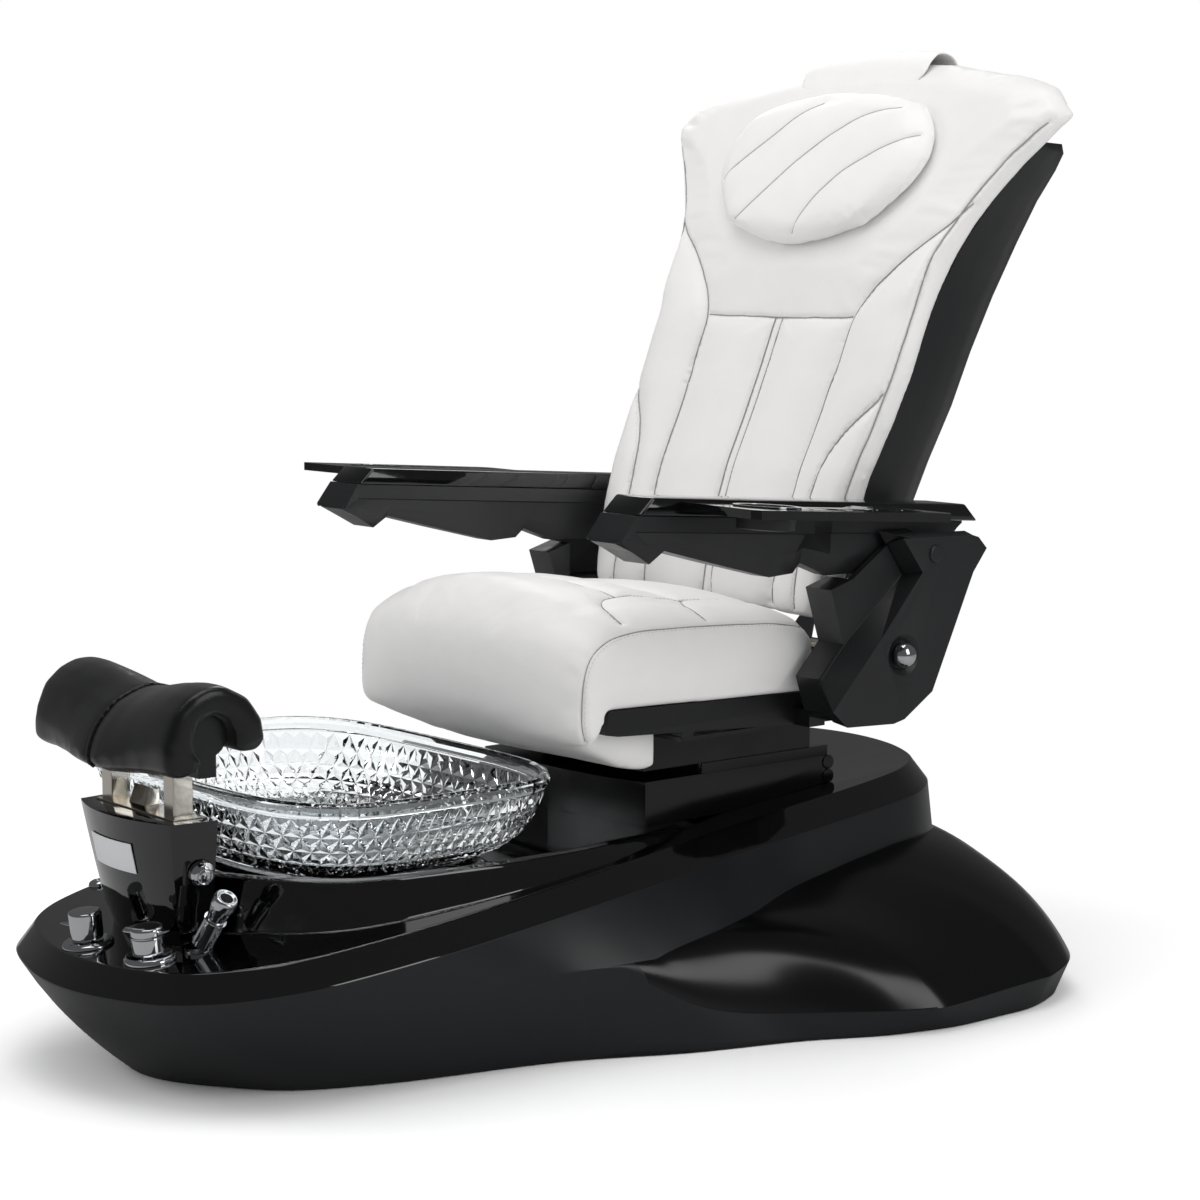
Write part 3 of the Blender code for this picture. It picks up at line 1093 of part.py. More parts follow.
def back_swell(x, z):
    """How far the padding stands forward of the plain front."""
    ax = abs(x)
    seam = seam_x(z)
    edge = 0.29 if z < 1.0 else 0.34
    if z < SEAM_Z and ax < seam:
        return 0.008 * math.sin(math.pi * min(max((ax - 0.006) / (seam - 0.006), 0.0), 1.0)) ** 0.7
    if ax >= seam and z < SEAM_Z + 0.16:
        return 0.016 * math.sin(math.pi * min((ax - seam) / max(edge - seam, 0.03), 1.0)) ** 0.8
    return 0.010 * ease(z, SEAM_Z, SEAM_Z + 0.06) * ease(BACK_TOP_Z - z, 0.0, 0.05)


def make_back(axis):
    leather = material("white_back_leather", (0.82, 0.81, 0.80), 0.45)
    levels = [0.0, 0.03, 0.09, 0.17, 0.25, 0.34, 0.43, 0.50, 0.524, 0.545, 0.59, 0.65, 0.71, 0.77, 0.84,
              0.90, 0.955, 1.0]
    front, rear = [], []
    for v in levels:
        row_f, row_r = [], []
        z0 = BACK_FOOT_Z + v * (BACK_TOP_Z - BACK_FOOT_Z)
        seam = min(seam_x(z0) / back_half(v), 0.86)
        marks = [0.0, 0.022 / 0.3, seam * 0.5, seam * 0.88, seam, seam + (1 - seam) * 0.14, seam + (1 - seam) * 0.5,
                 seam + (1 - seam) * 0.86, 1.0]
        marks = [-m for m in marks[:0:-1]] + marks
        for u in marks:
            p = back_point(u, v)
            swell = back_swell(p.x, p.z) * (1.0 if abs(u) < 0.999 else 0.0)
            lift = 0.0
            if v >= 1.0:
                lift = -0.010
            row_f.append((p.x, p.y - swell + (0.006 if v in (0.0, 1.0) else 0.0), p.z + lift))
            row_r.append((p.x, p.y + BACK_THICK, p.z + lift * 1.6))
        front.append(row_f)
        rear.append(row_r)
    piece("back_cushion", slab(front, rear, 0.009), leather, (0, HINGE_Y, HINGE_Z), axis, 50)


def make_back_shell(axis):
    matte = material("back_shell_matte", (0.020, 0.020, 0.022), 0.5)
    bm = bmesh.new()
    rows = []
    levels = [SHELL_FOOT_Z, 0.68, 0.76, 0.84, 0.92, 1.00, 1.08, 1.14, 1.185, 1.210, SHELL_TOP_Z, SHELL_TOP_Z + 0.002]
    for k, z in enumerate(levels):
        v = (z - BACK_FOOT_Z) / (BACK_TOP_Z - 0.03 - BACK_FOOT_Z)
        half = back_half(min(v, 1.0)) - 0.006
        start = back_line(z) + BACK_THICK + BACK_CLEAR
        depth = shell_depth(z)
        fade = 1.0
        if k == len(levels) - 2:
            fade = 0.86
        if k == len(levels) - 1:
            fade = 0.02
        rib = 0.004 * math.sin(z * 60)
        row = []
        for u, d in ((-1.0, 0.0), (-0.995, 0.30), (-0.97, 0.60), (-0.90, 0.88), (-0.78, 1.0), (-0.35, 1.04),
                     (0.35, 1.04), (0.78, 1.0), (0.90, 0.88), (0.97, 0.60), (0.995, 0.30),
                     (1.0, 0.0)):
            row.append(bm.verts.new((u * half, min(start + (depth + rib) * d * fade, 0.7650), z)))
        rows.append(row)
    for a, b in zip(rows, rows[1:]):
        for i in range(len(a) - 1):
            bm.faces.new((a[i], a[i + 1], b[i + 1], b[i]))
    bmesh.ops.recalc_face_normals(bm, faces=bm.faces)
    if sum(f.normal.y * f.calc_area() for f in bm.faces) < 0:
        bmesh.ops.reverse_faces(bm, faces=bm.faces)
    bmesh.ops.translate(bm, verts=bm.verts, vec=-Vector((0, HINGE_Y, HINGE_Z)))
    mesh = bpy.data.meshes.new("back_shell")
    bm.to_mesh(mesh)
    bm.free()
    mesh.shade_smooth()
    shell = put("back_shell", mesh, matte, (0, HINGE_Y, HINGE_Z), axis)
    wall = shell.modifiers.new("wall", "SOLIDIFY")
    wall.thickness = SHELL_WALL
    wall.offset = -1.0
    wall.use_even_offset = True


def make_back_frame(axis, seat):
    steel = material("frame_steel", (0.10, 0.10, 0.11), 0.4)
    bright = material("shaft_steel", (0.55, 0.55, 0.56), 0.3, 1.0)
    heights = [0.57, 0.65, 0.75, 0.87, 1.00, 1.12]
    skin = BACK_THICK + FRAME_CLEAR
    outline = [(back_line(z) + skin, z) for z in heights] + [(back_line(z) + skin + 0.030, z) for z in heights[::-1]]
    for angle in range(0, -181, -30):
        a = math.radians(angle)
        outline.append((HINGE_Y + 0.021 * math.cos(a), HINGE_Z + 0.021 * math.sin(a)))
    outline += [(HINGE_Y - 0.014, HINGE_Z + 0.018), (HINGE_Y + 0.006, HINGE_Z + 0.038)]
    at = (0, HINGE_Y, HINGE_Z)
    frame = piece("back_frame", prism(outline, 0.165, 0.175), steel, at, axis, 20)
    join(frame, prism(outline, -0.175, -0.165), "right_plate")
    for z in (0.605, 0.90, 1.10):
        y = back_line(z) + skin + 0.004
        join(frame, box((-0.176, y, z - 0.012), (0.176, y + 0.020, z + 0.012)), "bar_%d" % round(z * 1000))
    reach = HINGE_Z - LEVER_LENGTH
    y = back_line(0.605) + skin + 0.010
    lever = [(HINGE_Y - 0.016, reach - 0.028), (HINGE_Y + 0.016, reach - 0.028), (HINGE_Y + 0.018, HINGE_Z),
             (y + 0.012, 0.600), (y + 0.012, 0.612), (y - 0.004, 0.612), (y - 0.004, 0.600), (HINGE_Y - 0.018, HINGE_Z)]
    join(frame, prism(lever, LEVER_X, LEVER_X + LEVER_PLATE), "lever")
    slot = box((LEVER_X - 0.01, HINGE_Y - PIN_RADIUS - 0.0035, reach - 0.0190),
               (LEVER_X + LEVER_PLATE + 0.01, HINGE_Y + PIN_RADIUS + 0.0035, reach + 0.0090))
    cut(frame, slot, "slot")
    cut(frame, rod((-0.3, HINGE_Y, HINGE_Z), (0.3, HINGE_Y, HINGE_Z), SHAFT_RADIUS + GAP, 20), "shaft_bore")
    half = SHELL_INNER - GAP
    piece("hinge_shaft", rod((-half, HINGE_Y, HINGE_Z), (half, HINGE_Y, HINGE_Z), SHAFT_RADIUS, 20), bright, at, seat)
    dark = material("recline_motor_grey", (0.12, 0.12, 0.13), 0.5)
    foot = SLIDE_TOP_Z + 2 * GAP + FRAME_PLATE
    body = rod((ROD_X, 0.095, reach), (ROD_X, 0.235, reach), 0.0150, 20)
    motor = piece("recline_motor", body, dark, (ROD_X, 0.095, reach), seat)
    for y in (0.110, 0.205):
        join(motor, box((ROD_X - 0.012, y, foot), (ROD_X + 0.012, y + 0.016, reach - 0.006)), "saddle_%d" % round(y * 1000))
    cut(motor, rod((ROD_X, 0.108, reach), (ROD_X, 0.26, reach), ROD_RADIUS + 2 * GAP, 16), "bore")
    slide = empty("recline_rod_axis", (ROD_X, HINGE_Y, reach), seat)
    push = rod((ROD_X, 0.165, reach), (ROD_X, HINGE_Y + 0.006, reach), ROD_RADIUS, 16)
    push = piece("recline_rod", push, bright, (ROD_X, HINGE_Y, reach), slide)
    join(push, rod((ROD_X, HINGE_Y, reach), (LEVER_X + LEVER_PLATE + 0.003, HINGE_Y, reach), PIN_RADIUS, 12), "pin")


def make_headrest(axis, flip):
    leather = material("white_pillow_leather", (0.83, 0.82, 0.81), 0.42)
    front, rear = [], []
    rows, cols = 11, 13
    for j in range(rows):
        t = -1 + 2 * j / (rows - 1)
        fr, rr = [], []
        for i in range(cols):
            s = -1 + 2 * i / (cols - 1)
            # square to disc, then egg: widest above the middle
            x = s * math.sqrt(max(1 - t * t * 0.42, 0))
            y = t * math.sqrt(max(1 - s * s * 0.42, 0))
            up = PILLOW_Z + (PILLOW_UP if y > 0 else PILLOW_DOWN) * y * 0.985
            wide = PILLOW_HALF * x * (1.0 + 0.06 * y - 0.16 * max(-y, 0) ** 1.5)
            edge = max(abs(s), abs(t))
            dome = math.sqrt(max(1 - edge ** 4, 0.0))
            back = back_line(up) - 0.0106
            rr.append((wide, back - 0.014 * (1 - dome), up))
            fr.append((wide, back - PILLOW_THICK * (0.52 + 0.48 * dome), up + 0.004))
        front.append(fr)
        rear.append(rr)
    top = PILLOW_Z + PILLOW_UP
    piece("headrest_pillow", slab(front, rear, 0.006), leather, (0, back_line(top) - 0.014, top), flip, 60)


def make_strap(axis):
    leather = material("strap_leather", (0.82, 0.81, 0.80), 0.45)
    inner, outer = [], []
    for k in range(7):
        x = STRAP_HALF * (-1 + k / 3)
        crest = back_top(x)
        path = []
        for z in (1.3122, 1.322, 1.334, crest - 0.012):
            path.append((back_line(z) - 0.0110, z))
        base = back_line(crest)
        path += [(base + 0.001, crest + 0.0035), (base + 0.020, crest + 0.0045), (base + 0.038, crest - 0.0045),
                 (base + BACK_THICK + 0.004, crest - 0.022)]
        for z in (1.32, 1.28, 1.235):
            path.append((back_line(z) + BACK_THICK + 0.0010, z))
        away = []
        for i in range(len(path)):
            (ay, az), (by, bz) = path[max(i - 1, 0)], path[min(i + 1, len(path) - 1)]
            n = Vector((0, -(bz - az), by - ay)).normalized()
            away.append(n)
        inner.append([(x, y, z) for y, z in path])
        outer.append([(x, y + n.y * STRAP_THICK, z + n.z * STRAP_THICK) for (y, z), n in zip(path, away)])
    piece("headrest_strap", slab(outer, inner), leather, (0, back_line(BACK_TOP_Z), BACK_TOP_Z), axis, 50)


# ---------------------------------------------------------------- inside the base

def make_frame(root):
    steel = material("base_frame_steel", (0.16, 0.16, 0.17), 0.45)
    z0, z1 = FRAME_Z, FRAME_Z + TUBE
    half = TUBE / 2
    frame = box((FRAME_X - half, FRAME_FRONT, z0), (FRAME_X + half, FRAME_BACK, z1))
    frame = piece("base_frame", frame, steel, (0, 0, z0), root)
    join(frame, box((-FRAME_X - half, FRAME_FRONT, z0), (-FRAME_X + half, FRAME_BACK, z1)), "right_rail")
    for y in (FRAME_FRONT + 0.001, -0.040, 0.300, FRAME_BACK - TUBE - 0.001):
        join(frame, box((-FRAME_X, y, z0 + 0.0005), (FRAME_X, y + TUBE, z1 - 0.0005 if y != -0.040 else z1)),
             "cross_%d" % round(y * 1000 + 1000))
    low = PLATFORM_Z - HULL_WALL - GAP
    for side in (1, -1):
        for y in (-0.400, 0.080):
            x = side * FRAME_X
            join(frame, box((x - half + 0.001, y, z0 + 0.001), (x + half - 0.001, y + TUBE, low)),
                 "post_%d_%d" % (side + 1, round(y * 1000 + 1000)))
    n = 0
    for side, word in ((1, "left"), (-1, "right")):
        for y, end in ((FRAME_FRONT + 0.03, "front"), (FRAME_BACK - 0.03, "rear")):
            n += 1
            foot = [(0, FRAME_Z - GAP), (0.006, FRAME_Z - GAP), (0.006, 0.010), (FOOT_PAD * 0.8, 0.008),
                    (FOOT_PAD, 0.005), (FOOT_PAD, 0.0), (0, 0.0)]
            turned("levelling_foot_%s_%s" % (end, word), foot, steel, (side * FRAME_X, y, 0.0), parent=root, steps=10)
    return n


def make_power(root):
    grey = material("power_box_grey", (0.22, 0.23, 0.24), 0.5)
    low = FRAME_Z + TUBE + GAP
    power = box((-0.075, 0.290, low), (0.075, 0.400, low + 0.070))
    power = piece("transformer_box", power, grey, (0, 0.345, low), root)
    bevel(power, 0.004, 2)


def build():
    root = empty("chair", (0, 0, 0))
    lift = empty("footrest_lift", (0, POST_Y, TOWER_TOP_Z), root)
    seat = empty("seat_slide", (0, SLIDE_FRONT, SLIDE_Z), root)
    recline = empty("recline_axis", (0, HINGE_Y, HINGE_Z), seat)
    make_base(root)
    make_bowl(root)
    make_drain(root)
    tower = make_tower(root, lift)
    make_label(root)
    make_footrest(lift)
    make_taps(root)
    make_sprayer(root)
    make_diverter(root, tower)
    make_pedestal(root)
    make_slide(root, seat)
    make_seat_frame(seat)
    make_seat_cushion(seat)
    for side, word in ((1, "left"), (-1, "right")):
        make_side(side, word, seat)
        arm = empty("arm_axis_" + word, (side * ARM_INNER, ARM_PIVOT_Y, ARM_PIVOT_Z), seat)
        cap_foot = make_arm(side, word, arm)
        middle = (TRAY_FRONT + TRAY_BACK) / 2
        tray = empty("tray_axis_" + word, (side * (ARM_OUTER + GAP), middle, cap_foot(middle) + CAP_THICK - 0.004), arm)
        make_tray(side, word, tray, cap_foot)
    make_back(recline)
    make_back_shell(recline)
    make_back_frame(recline, seat)
    top = PILLOW_Z + PILLOW_UP
    flip = empty("headrest_axis", (0, back_line(top) - 0.014, top), recline)
    make_headrest(recline, flip)
    make_strap(recline)
    make_frame(root)
    make_power(root)


build()
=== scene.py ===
"""Looks of a pedicure spa chair: gloss black gelcoat base, crystal-cut glass bowl, chrome taps,
white leather seat and back, and textured black ABS arms and side shells."""

import json
import math
from contextlib import contextmanager

import bmesh
import bpy
import numpy as np
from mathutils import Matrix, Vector
from mathutils.bvhtree import BVHTree


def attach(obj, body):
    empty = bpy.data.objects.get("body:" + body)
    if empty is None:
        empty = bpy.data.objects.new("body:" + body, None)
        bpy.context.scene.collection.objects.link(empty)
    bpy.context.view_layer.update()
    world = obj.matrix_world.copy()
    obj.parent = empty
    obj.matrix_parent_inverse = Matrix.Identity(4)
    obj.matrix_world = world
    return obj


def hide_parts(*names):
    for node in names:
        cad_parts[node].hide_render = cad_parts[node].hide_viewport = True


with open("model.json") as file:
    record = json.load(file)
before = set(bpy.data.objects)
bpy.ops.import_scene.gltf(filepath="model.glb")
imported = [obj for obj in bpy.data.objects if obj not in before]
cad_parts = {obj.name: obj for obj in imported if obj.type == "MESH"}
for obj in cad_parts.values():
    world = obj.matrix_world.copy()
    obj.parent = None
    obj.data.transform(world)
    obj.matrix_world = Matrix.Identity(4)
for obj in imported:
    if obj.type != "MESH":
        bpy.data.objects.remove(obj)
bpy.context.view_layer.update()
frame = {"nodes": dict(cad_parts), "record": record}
SLOTS = {s["node"]: s["material_slot"] for s in frame["record"]["subparts"]}
GAP = 0.0003


# ---------------------------------------------------------------- surfaces

def monotone(points):
    """Cubic Hermite through (t, value) pairs, slopes by the harmonic mean, so that it never overshoots."""
    xs, ys = np.array(points, float).T
    h = np.diff(xs)
    d = np.diff(ys) / h
    m = np.concatenate([d[:1], np.zeros(len(xs) - 2), d[-1:]])
    same = d[:-1] * d[1:] > 0
    w1, w2 = 2 * h[1:] + h[:-1], h[1:] + 2 * h[:-1]
    with np.errstate(divide="ignore", invalid="ignore"):
        mean = (w1 + w2) / (w1 / d[:-1] + w2 / d[1:])
    m[1:-1] = np.where(same, mean, 0.0)

    def value(t):
        t = np.clip(np.asarray(t, float), xs[0], xs[-1])
        k = np.clip(np.searchsorted(xs, t, side="right") - 1, 0, len(h) - 1)
        s = (t - xs[k]) / h[k]
        return (ys[k] * (1 + 2 * s) * (1 - s) ** 2 + m[k] * h[k] * s * (1 - s) ** 2
                + ys[k + 1] * s * s * (3 - 2 * s) + m[k + 1] * h[k] * s * s * (s - 1))

    return value


def ease(x, a, b):
    """3t^2 - 2t^3 between a and b."""
    t = np.clip((np.asarray(x, float) - a) / (b - a), 0, 1)
    return t * t * (3 - 2 * t)


def unit(v):
    return v / np.maximum(np.linalg.norm(v, axis=-1, keepdims=True), 1e-12)


def object_of(name, mesh, mat, body, stands_for=()):
    piece = bpy.data.objects.new(name, mesh)
    bpy.context.scene.collection.objects.link(piece)
    if mat:
        mesh.materials.append(mat)
    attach(piece, body)
    if stands_for:
        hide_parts(*stands_for)
    return piece


@contextmanager
def edited(mesh):
    """A bmesh of the mesh, written back at the end."""
    bm = bmesh.new()
    bm.from_mesh(mesh)
    yield bm
    bm.to_mesh(mesh)
    bm.free()


def mesh_of(name, verts, faces):
    mesh = bpy.data.meshes.new(name)
    mesh.from_pydata(verts.tolist(), [], faces)
    return mesh


def tidy(mesh, weld=1e-6, angle=30):
    """Merges doubles, points the faces outwards and shades smooth but for edges sharper than `angle`."""
    with edited(mesh) as bm:
        bmesh.ops.remove_doubles(bm, verts=bm.verts, dist=weld)
        bmesh.ops.dissolve_degenerate(bm, edges=bm.edges, dist=weld)
        bmesh.ops.recalc_face_normals(bm, faces=bm.faces)
        if bm.calc_volume(signed=True) < 0:
            bmesh.ops.reverse_faces(bm, faces=bm.faces)
    mesh.shade_smooth()
    mesh.set_sharp_from_angle(angle=math.radians(angle))
    return mesh


def grid_mesh(name, points, around=False, along=False, ends=False, angle=30, slots=None):
    """A grid of points (rows, columns, 3) as quads; `around` joins last column to first, `along` last row to
    first, `ends` closes the first and last rows with a fan about their mean, and `slots` is each quad's finish."""
    rows, cols = points.shape[:2]
    index = np.arange(rows * cols).reshape(rows, cols)
    if around:
        index = np.concatenate([index, index[:, :1]], 1)
    if along:
        index = np.concatenate([index, index[:1]], 0)
    quads = np.stack([index[:-1, :-1], index[:-1, 1:], index[1:, 1:], index[1:, :-1]], -1).reshape(-1, 4)
    verts = points.reshape(-1, 3)
    faces = quads.tolist()
    if ends:
        first, last = len(verts), len(verts) + 1
        verts = np.vstack([verts, points[0].mean(0), points[-1].mean(0)])
        loop = np.arange(cols)
        nxt = (loop + 1) % cols
        faces += np.stack([loop, nxt, np.full(cols, first)], -1).tolist()
        base = (rows - 1) * cols
        faces += np.stack([base + nxt, base + loop, np.full(cols, last)], -1).tolist()
    mesh = mesh_of(name, verts, faces)
    if slots is not None:
        mesh.polygons.foreach_set("material_index", slots.ravel().astype(np.int32))
    return tidy(mesh, angle=angle)


def frame_of(axis):
    """Two unit vectors square to the axis."""
    axis = unit(np.array(axis, float))
    side = unit(np.cross(axis, (0, 0, 1) if abs(axis[2]) < 0.9 else (0, 1, 0)))
    return axis, side, np.cross(axis, side)


def softened(profile, radius):
    """A profile whose corners are cut by three points of a quadratic arc of about `radius`."""
    p = np.array(profile, float)
    out = [p[:1]]
    for a, b, c in zip(p[:-2], p[1:-1], p[2:]):
        into, out_of = np.linalg.norm(a - b), np.linalg.norm(c - b)
        s = b + (a - b) * min(radius / max(into, 1e-9), 0.45)
        e = b + (c - b) * min(radius / max(out_of, 1e-9), 0.45)
        out.append(np.stack([s, (s + e + 2 * b) / 4, e]))
    out.append(p[-1:])
    return np.vstack(out)


def lathe(name, profile, at, axis, body, stands_for=(), mat=None, steps=72, soft=0.0006, ring=False):
    """A profile of (radius, height) turned once about the axis."""
    p = np.array(profile, float)
    if ring:
        p = np.vstack([p, p[:1]])
    p = softened(p, soft)
    axis, side, up = frame_of(axis)
    t = np.linspace(0, 2 * np.pi, steps, endpoint=False)
    ring_dir = np.cos(t)[:, None] * side + np.sin(t)[:, None] * up
    points = np.array(at) + p[:, 0, None, None] * ring_dir + p[:, 1, None, None] * axis
    return object_of(name, grid_mesh(name, points, around=True, angle=35), mat or CHROME, body, stands_for)


def swept(path, radius, sides=10, normals=None, closed=False, flat=1.0):
    """Points of a tube: at each point of the path a circle (or an oval) square to the path."""
    path = np.asarray(path, float)
    if closed:
        tangent = np.roll(path, -1, 0) - np.roll(path, 1, 0)
    else:
        tangent = np.gradient(path, axis=0)
    tangent = unit(tangent)
    ref = np.broadcast_to(np.array((0.13, 0.21, 0.97)), path.shape) if normals is None else np.asarray(normals)
    side = unit(np.cross(tangent, ref))
    up = np.cross(side, tangent)
    t = np.linspace(0, 2 * np.pi, sides, endpoint=False)
    radius = np.broadcast_to(np.asarray(radius, float), (len(path),))[:, None, None]
    return path[:, None] + radius * (np.cos(t)[None, :, None] * side[:, None] + flat * np.sin(t)[None, :,
            None] * up[:, None])


def copied(node, angle=25):
    """The CAD node's triangles as one welded mesh."""
    mesh = frame["nodes"][node].data.copy()
    mesh.name = node + "_shape"
    mesh.materials.clear()
    return tidy(mesh, weld=2e-6, angle=angle)


def machined(node, mat, body, width=0.0012, segments=2, angle=28):
    """The CAD node with its flat faces joined up and its edges rounded by a small bevel, in the finish it is given."""
    mesh = copied(node)
    with edited(mesh) as bm:
        bmesh.ops.dissolve_limit(bm, angle_limit=math.radians(0.6), verts=bm.verts, edges=bm.edges, delimit={"NORMAL"})
    piece = object_of(node + "_body", mesh, mat, body, (node,))
    edge = piece.modifiers.new("rounded_edges", "BEVEL")
    edge.width = width
    edge.segments = segments
    edge.limit_method = "ANGLE"
    edge.angle_limit = math.radians(angle)
    edge.harden_normals = True
    return piece


def subdivided(piece, levels):
    step = piece.modifiers.new("smooth", "SUBSURF")
    step.levels = step.render_levels = levels
    return piece


# ---------------------------------------------------------------- materials

def linear(code):
    """sRGB hex to linear values."""
    v = np.array([int(code[i:i + 2], 16) for i in (1, 3, 5)]) / 255
    return tuple(np.where(v <= 0.04045, v / 12.92, ((v + 0.055) / 1.055) ** 2.4)) + (1.0,)


def node(tree, kind, settings=(), links=()):
    """Adds a node, sets its properties or sockets by name, and links (socket, source node, source socket)."""
    made = tree.nodes.new("ShaderNode" + kind)
    for key, value in dict(settings).items():
        if isinstance(key, str) and hasattr(made, key) and key not in made.inputs:
            setattr(made, key, value)
        else:
            made.inputs[key].default_value = value
    for socket, source, out in links:
        tree.links.new(source.outputs[out], made.inputs[socket])
    return made


def surface(name, color, roughness, **sockets):
    mat = bpy.data.materials.new(name)
    mat.use_nodes = True
    tree = mat.node_tree
    shader = tree.nodes["Principled BSDF"]
    shader.inputs["Base Color"].default_value = linear(color)
    shader.inputs["Roughness"].default_value = roughness
    for key, value in sockets.items():
        shader.inputs[key.replace("_", " ")].default_value = value
    mat.diffuse_color = linear(color)
    return mat, tree, shader


def grained(tree, shader, scale, depth, detail=3):
    """Bump from a noise of `scale` cells a metre, `depth` metres deep."""
    where = node(tree, "TexCoord")
    noise = node(tree, "TexNoise", {"Scale": scale, "Detail": detail}, [("Vector", where, "Object")])
    bump = node(tree, "Bump", {"Strength": 1.0, "Distance": depth}, [("Height", noise, "Fac")])
    tree.links.new(bump.outputs["Normal"], shader.inputs["Normal"])
    return where


def mottled(tree, shader, socket, where, scale, low, high):
    """Varies one socket between low and high by a soft noise: handling marks and uneven polish."""
    noise = node(tree, "TexNoise", {"Scale": scale, "Detail": 4}, [("Vector", where, "Object")])
    span = node(tree, "MapRange", {"From Min": 0.3, "From Max": 0.7, "To Min": low, "To Max": high},
            [("Value", noise, "Fac")])
    tree.links.new(span.outputs["Result"], shader.inputs[socket])


def gelcoat(name="black_gelcoat_on_fibreglass", color="#050506", rough=0.05):
    """Sprayed gelcoat over moulded fibreglass: a deep mirror gloss with a faint long ripple."""
    mat, tree, shader = surface(name, color, rough, Coat_Weight=1.0, Coat_Roughness=0.03, IOR=1.5)
    where = grained(tree, shader, 26, 0.0004, 1)
    mottled(tree, shader, "Roughness", where, 9, rough * 0.8, rough * 1.8)
    return mat


def satin_gelcoat(name="satin_black_gelcoat", color="#15171A", low=0.30, high=0.40):
    """The same gelcoat rubbed back to a satin on the lower sides: it greys the light that grazes it."""
    mat, tree, shader = surface(name, color, low, IOR=1.5)
    where = grained(tree, shader, 22, 0.00006, 1)
    mottled(tree, shader, "Roughness", where, 7, low, high)
    return mat


def textured_abs():
    """Injection-moulded ABS with a fine spark-eroded grain of about 0.5 mm: matte, slightly grey."""
    mat, tree, shader = surface("textured_black_abs", "#1D1E20", 0.38, IOR=1.53)
    where = grained(tree, shader, 1400, 0.00010, 2)
    mottled(tree, shader, "Roughness", where, 30, 0.34, 0.42)
    return mat


def polished_acrylic():
    """Cast black acrylic on the arm tops and trays: flat, deep and very glossy, with faint wipe marks."""
    mat, tree, shader = surface("polished_black_acrylic", "#08090A", 0.05, IOR=1.49, Coat_Weight=0.6,
            Coat_Roughness=0.02)
    where = grained(tree, shader, 60, 0.00004, 1)
    mottled(tree, shader, "Roughness", where, 40, 0.03, 0.10)
    return mat


def leather(name, color, rough, cell=420, depth=0.00016, tint=0.02):
    """Coated upholstery leather: pebbles of about 2 mm, drawn a little coarse, with creases between them."""
    mat, tree, shader = surface(name, color, rough, IOR=1.46, Sheen_Weight=0.10, Sheen_Roughness=0.5)
    where = node(tree, "TexCoord")
    warp = node(tree, "TexNoise", {"Scale": 90, "Detail": 2}, [("Vector", where, "Object")])
    push = node(tree, "VectorMath", {"operation": "MULTIPLY_ADD", 1: (0.004, 0.004, 0.004)},
            [(0, warp, "Color"), (2, where, "Object")])
    pebble = node(tree, "TexVoronoi", {"feature": "DISTANCE_TO_EDGE", "Scale": cell}, [("Vector", push, "Vector")])
    shape = node(tree, "MapRange", {"From Min": 0.0, "From Max": 0.35}, [("Value", pebble, "Distance")])
    broad = node(tree, "TexNoise", {"Scale": 24, "Detail": 3}, [("Vector", where, "Object")])
    soft = node(tree, "Bump", {"Strength": 0.6, "Distance": 0.0010}, [("Height", broad, "Fac")])
    bump = node(tree, "Bump", {"Strength": 0.55, "Distance": depth},
            [("Height", shape, "Result"), ("Normal", soft, "Normal")])
    tree.links.new(bump.outputs["Normal"], shader.inputs["Normal"])
    mottled(tree, shader, "Roughness", where, 14, rough * 0.88, rough * 1.15)
    shade = node(tree, "MapRange", {"From Min": 0.3, "From Max": 0.7, "To Min": 1.0, "To Max": 1.0 - tint},
            [("Value", broad, "Fac")])
    color_mix = node(tree, "Mix", {"data_type": "RGBA", "blend_type": "MULTIPLY", "Factor": 1.0})
    color_mix.inputs[6].default_value = linear(color)
    tree.links.new(shade.outputs["Result"], color_mix.inputs[7])
    tree.links.new(color_mix.outputs[2], shader.inputs["Base Color"])
    return mat


def crystal():
    """Pressed and cut soda glass: clear with a cool cast, sharp facets and a polished rim."""
    return surface("cut_crystal_glass", "#F4F8FA", 0.0, IOR=1.50, Transmission_Weight=1.0)[0]


def chromed(name="polished_chrome", rough=0.05):
    """Chrome plate on brass: a cool mirror with faint water marks."""
    mat, tree, shader = surface(name, "#DADCDF", rough, Metallic=1.0)
    where = node(tree, "TexCoord")
    mottled(tree, shader, "Roughness", where, 120, rough * 0.6, rough * 2.4)
    return mat


def brushed(name, color, rough, metallic=1.0):
    """Brushed steel: fine scratches along Z of about 0.3 mm; a clear lacquer makes it paler and less metallic."""
    mat, tree, shader = surface(name, color, rough, Metallic=metallic)
    where = node(tree, "TexCoord")
    stretch = node(tree, "Mapping", {"Scale": (1500, 1500, 30)}, [("Vector", where, "Object")])
    lines = node(tree, "TexNoise", {"Scale": 1.0, "Detail": 2}, [("Vector", stretch, "Vector")])
    bump = node(tree, "Bump", {"Strength": 0.4, "Distance": 0.000012}, [("Height", lines, "Fac")])
    tree.links.new(bump.outputs["Normal"], shader.inputs["Normal"])
    mottled(tree, shader, "Roughness", where, 60, rough * 0.95, rough * 1.08)
    return mat


def powder_coat(name, color, rough):
    """Powder-coated steel: a fine orange peel of about 1 mm."""
    mat, tree, shader = surface(name, color, rough, IOR=1.5)
    where = grained(tree, shader, 700, 0.00008, 2)
    mottled(tree, shader, "Roughness", where, 20, rough * 0.9, rough * 1.15)
    return mat


def thread_or_painted_shade(name, color):
    """Twisted polyester yarn for the stitches, or painted shade: a dull bead a shade under the leather it joins,
    standing for the shadow in a seam's groove.
    """
    mat, tree, shader = surface(name, color, 0.7)
    grained(tree, shader, 2500, 0.0001, 1)
    return mat


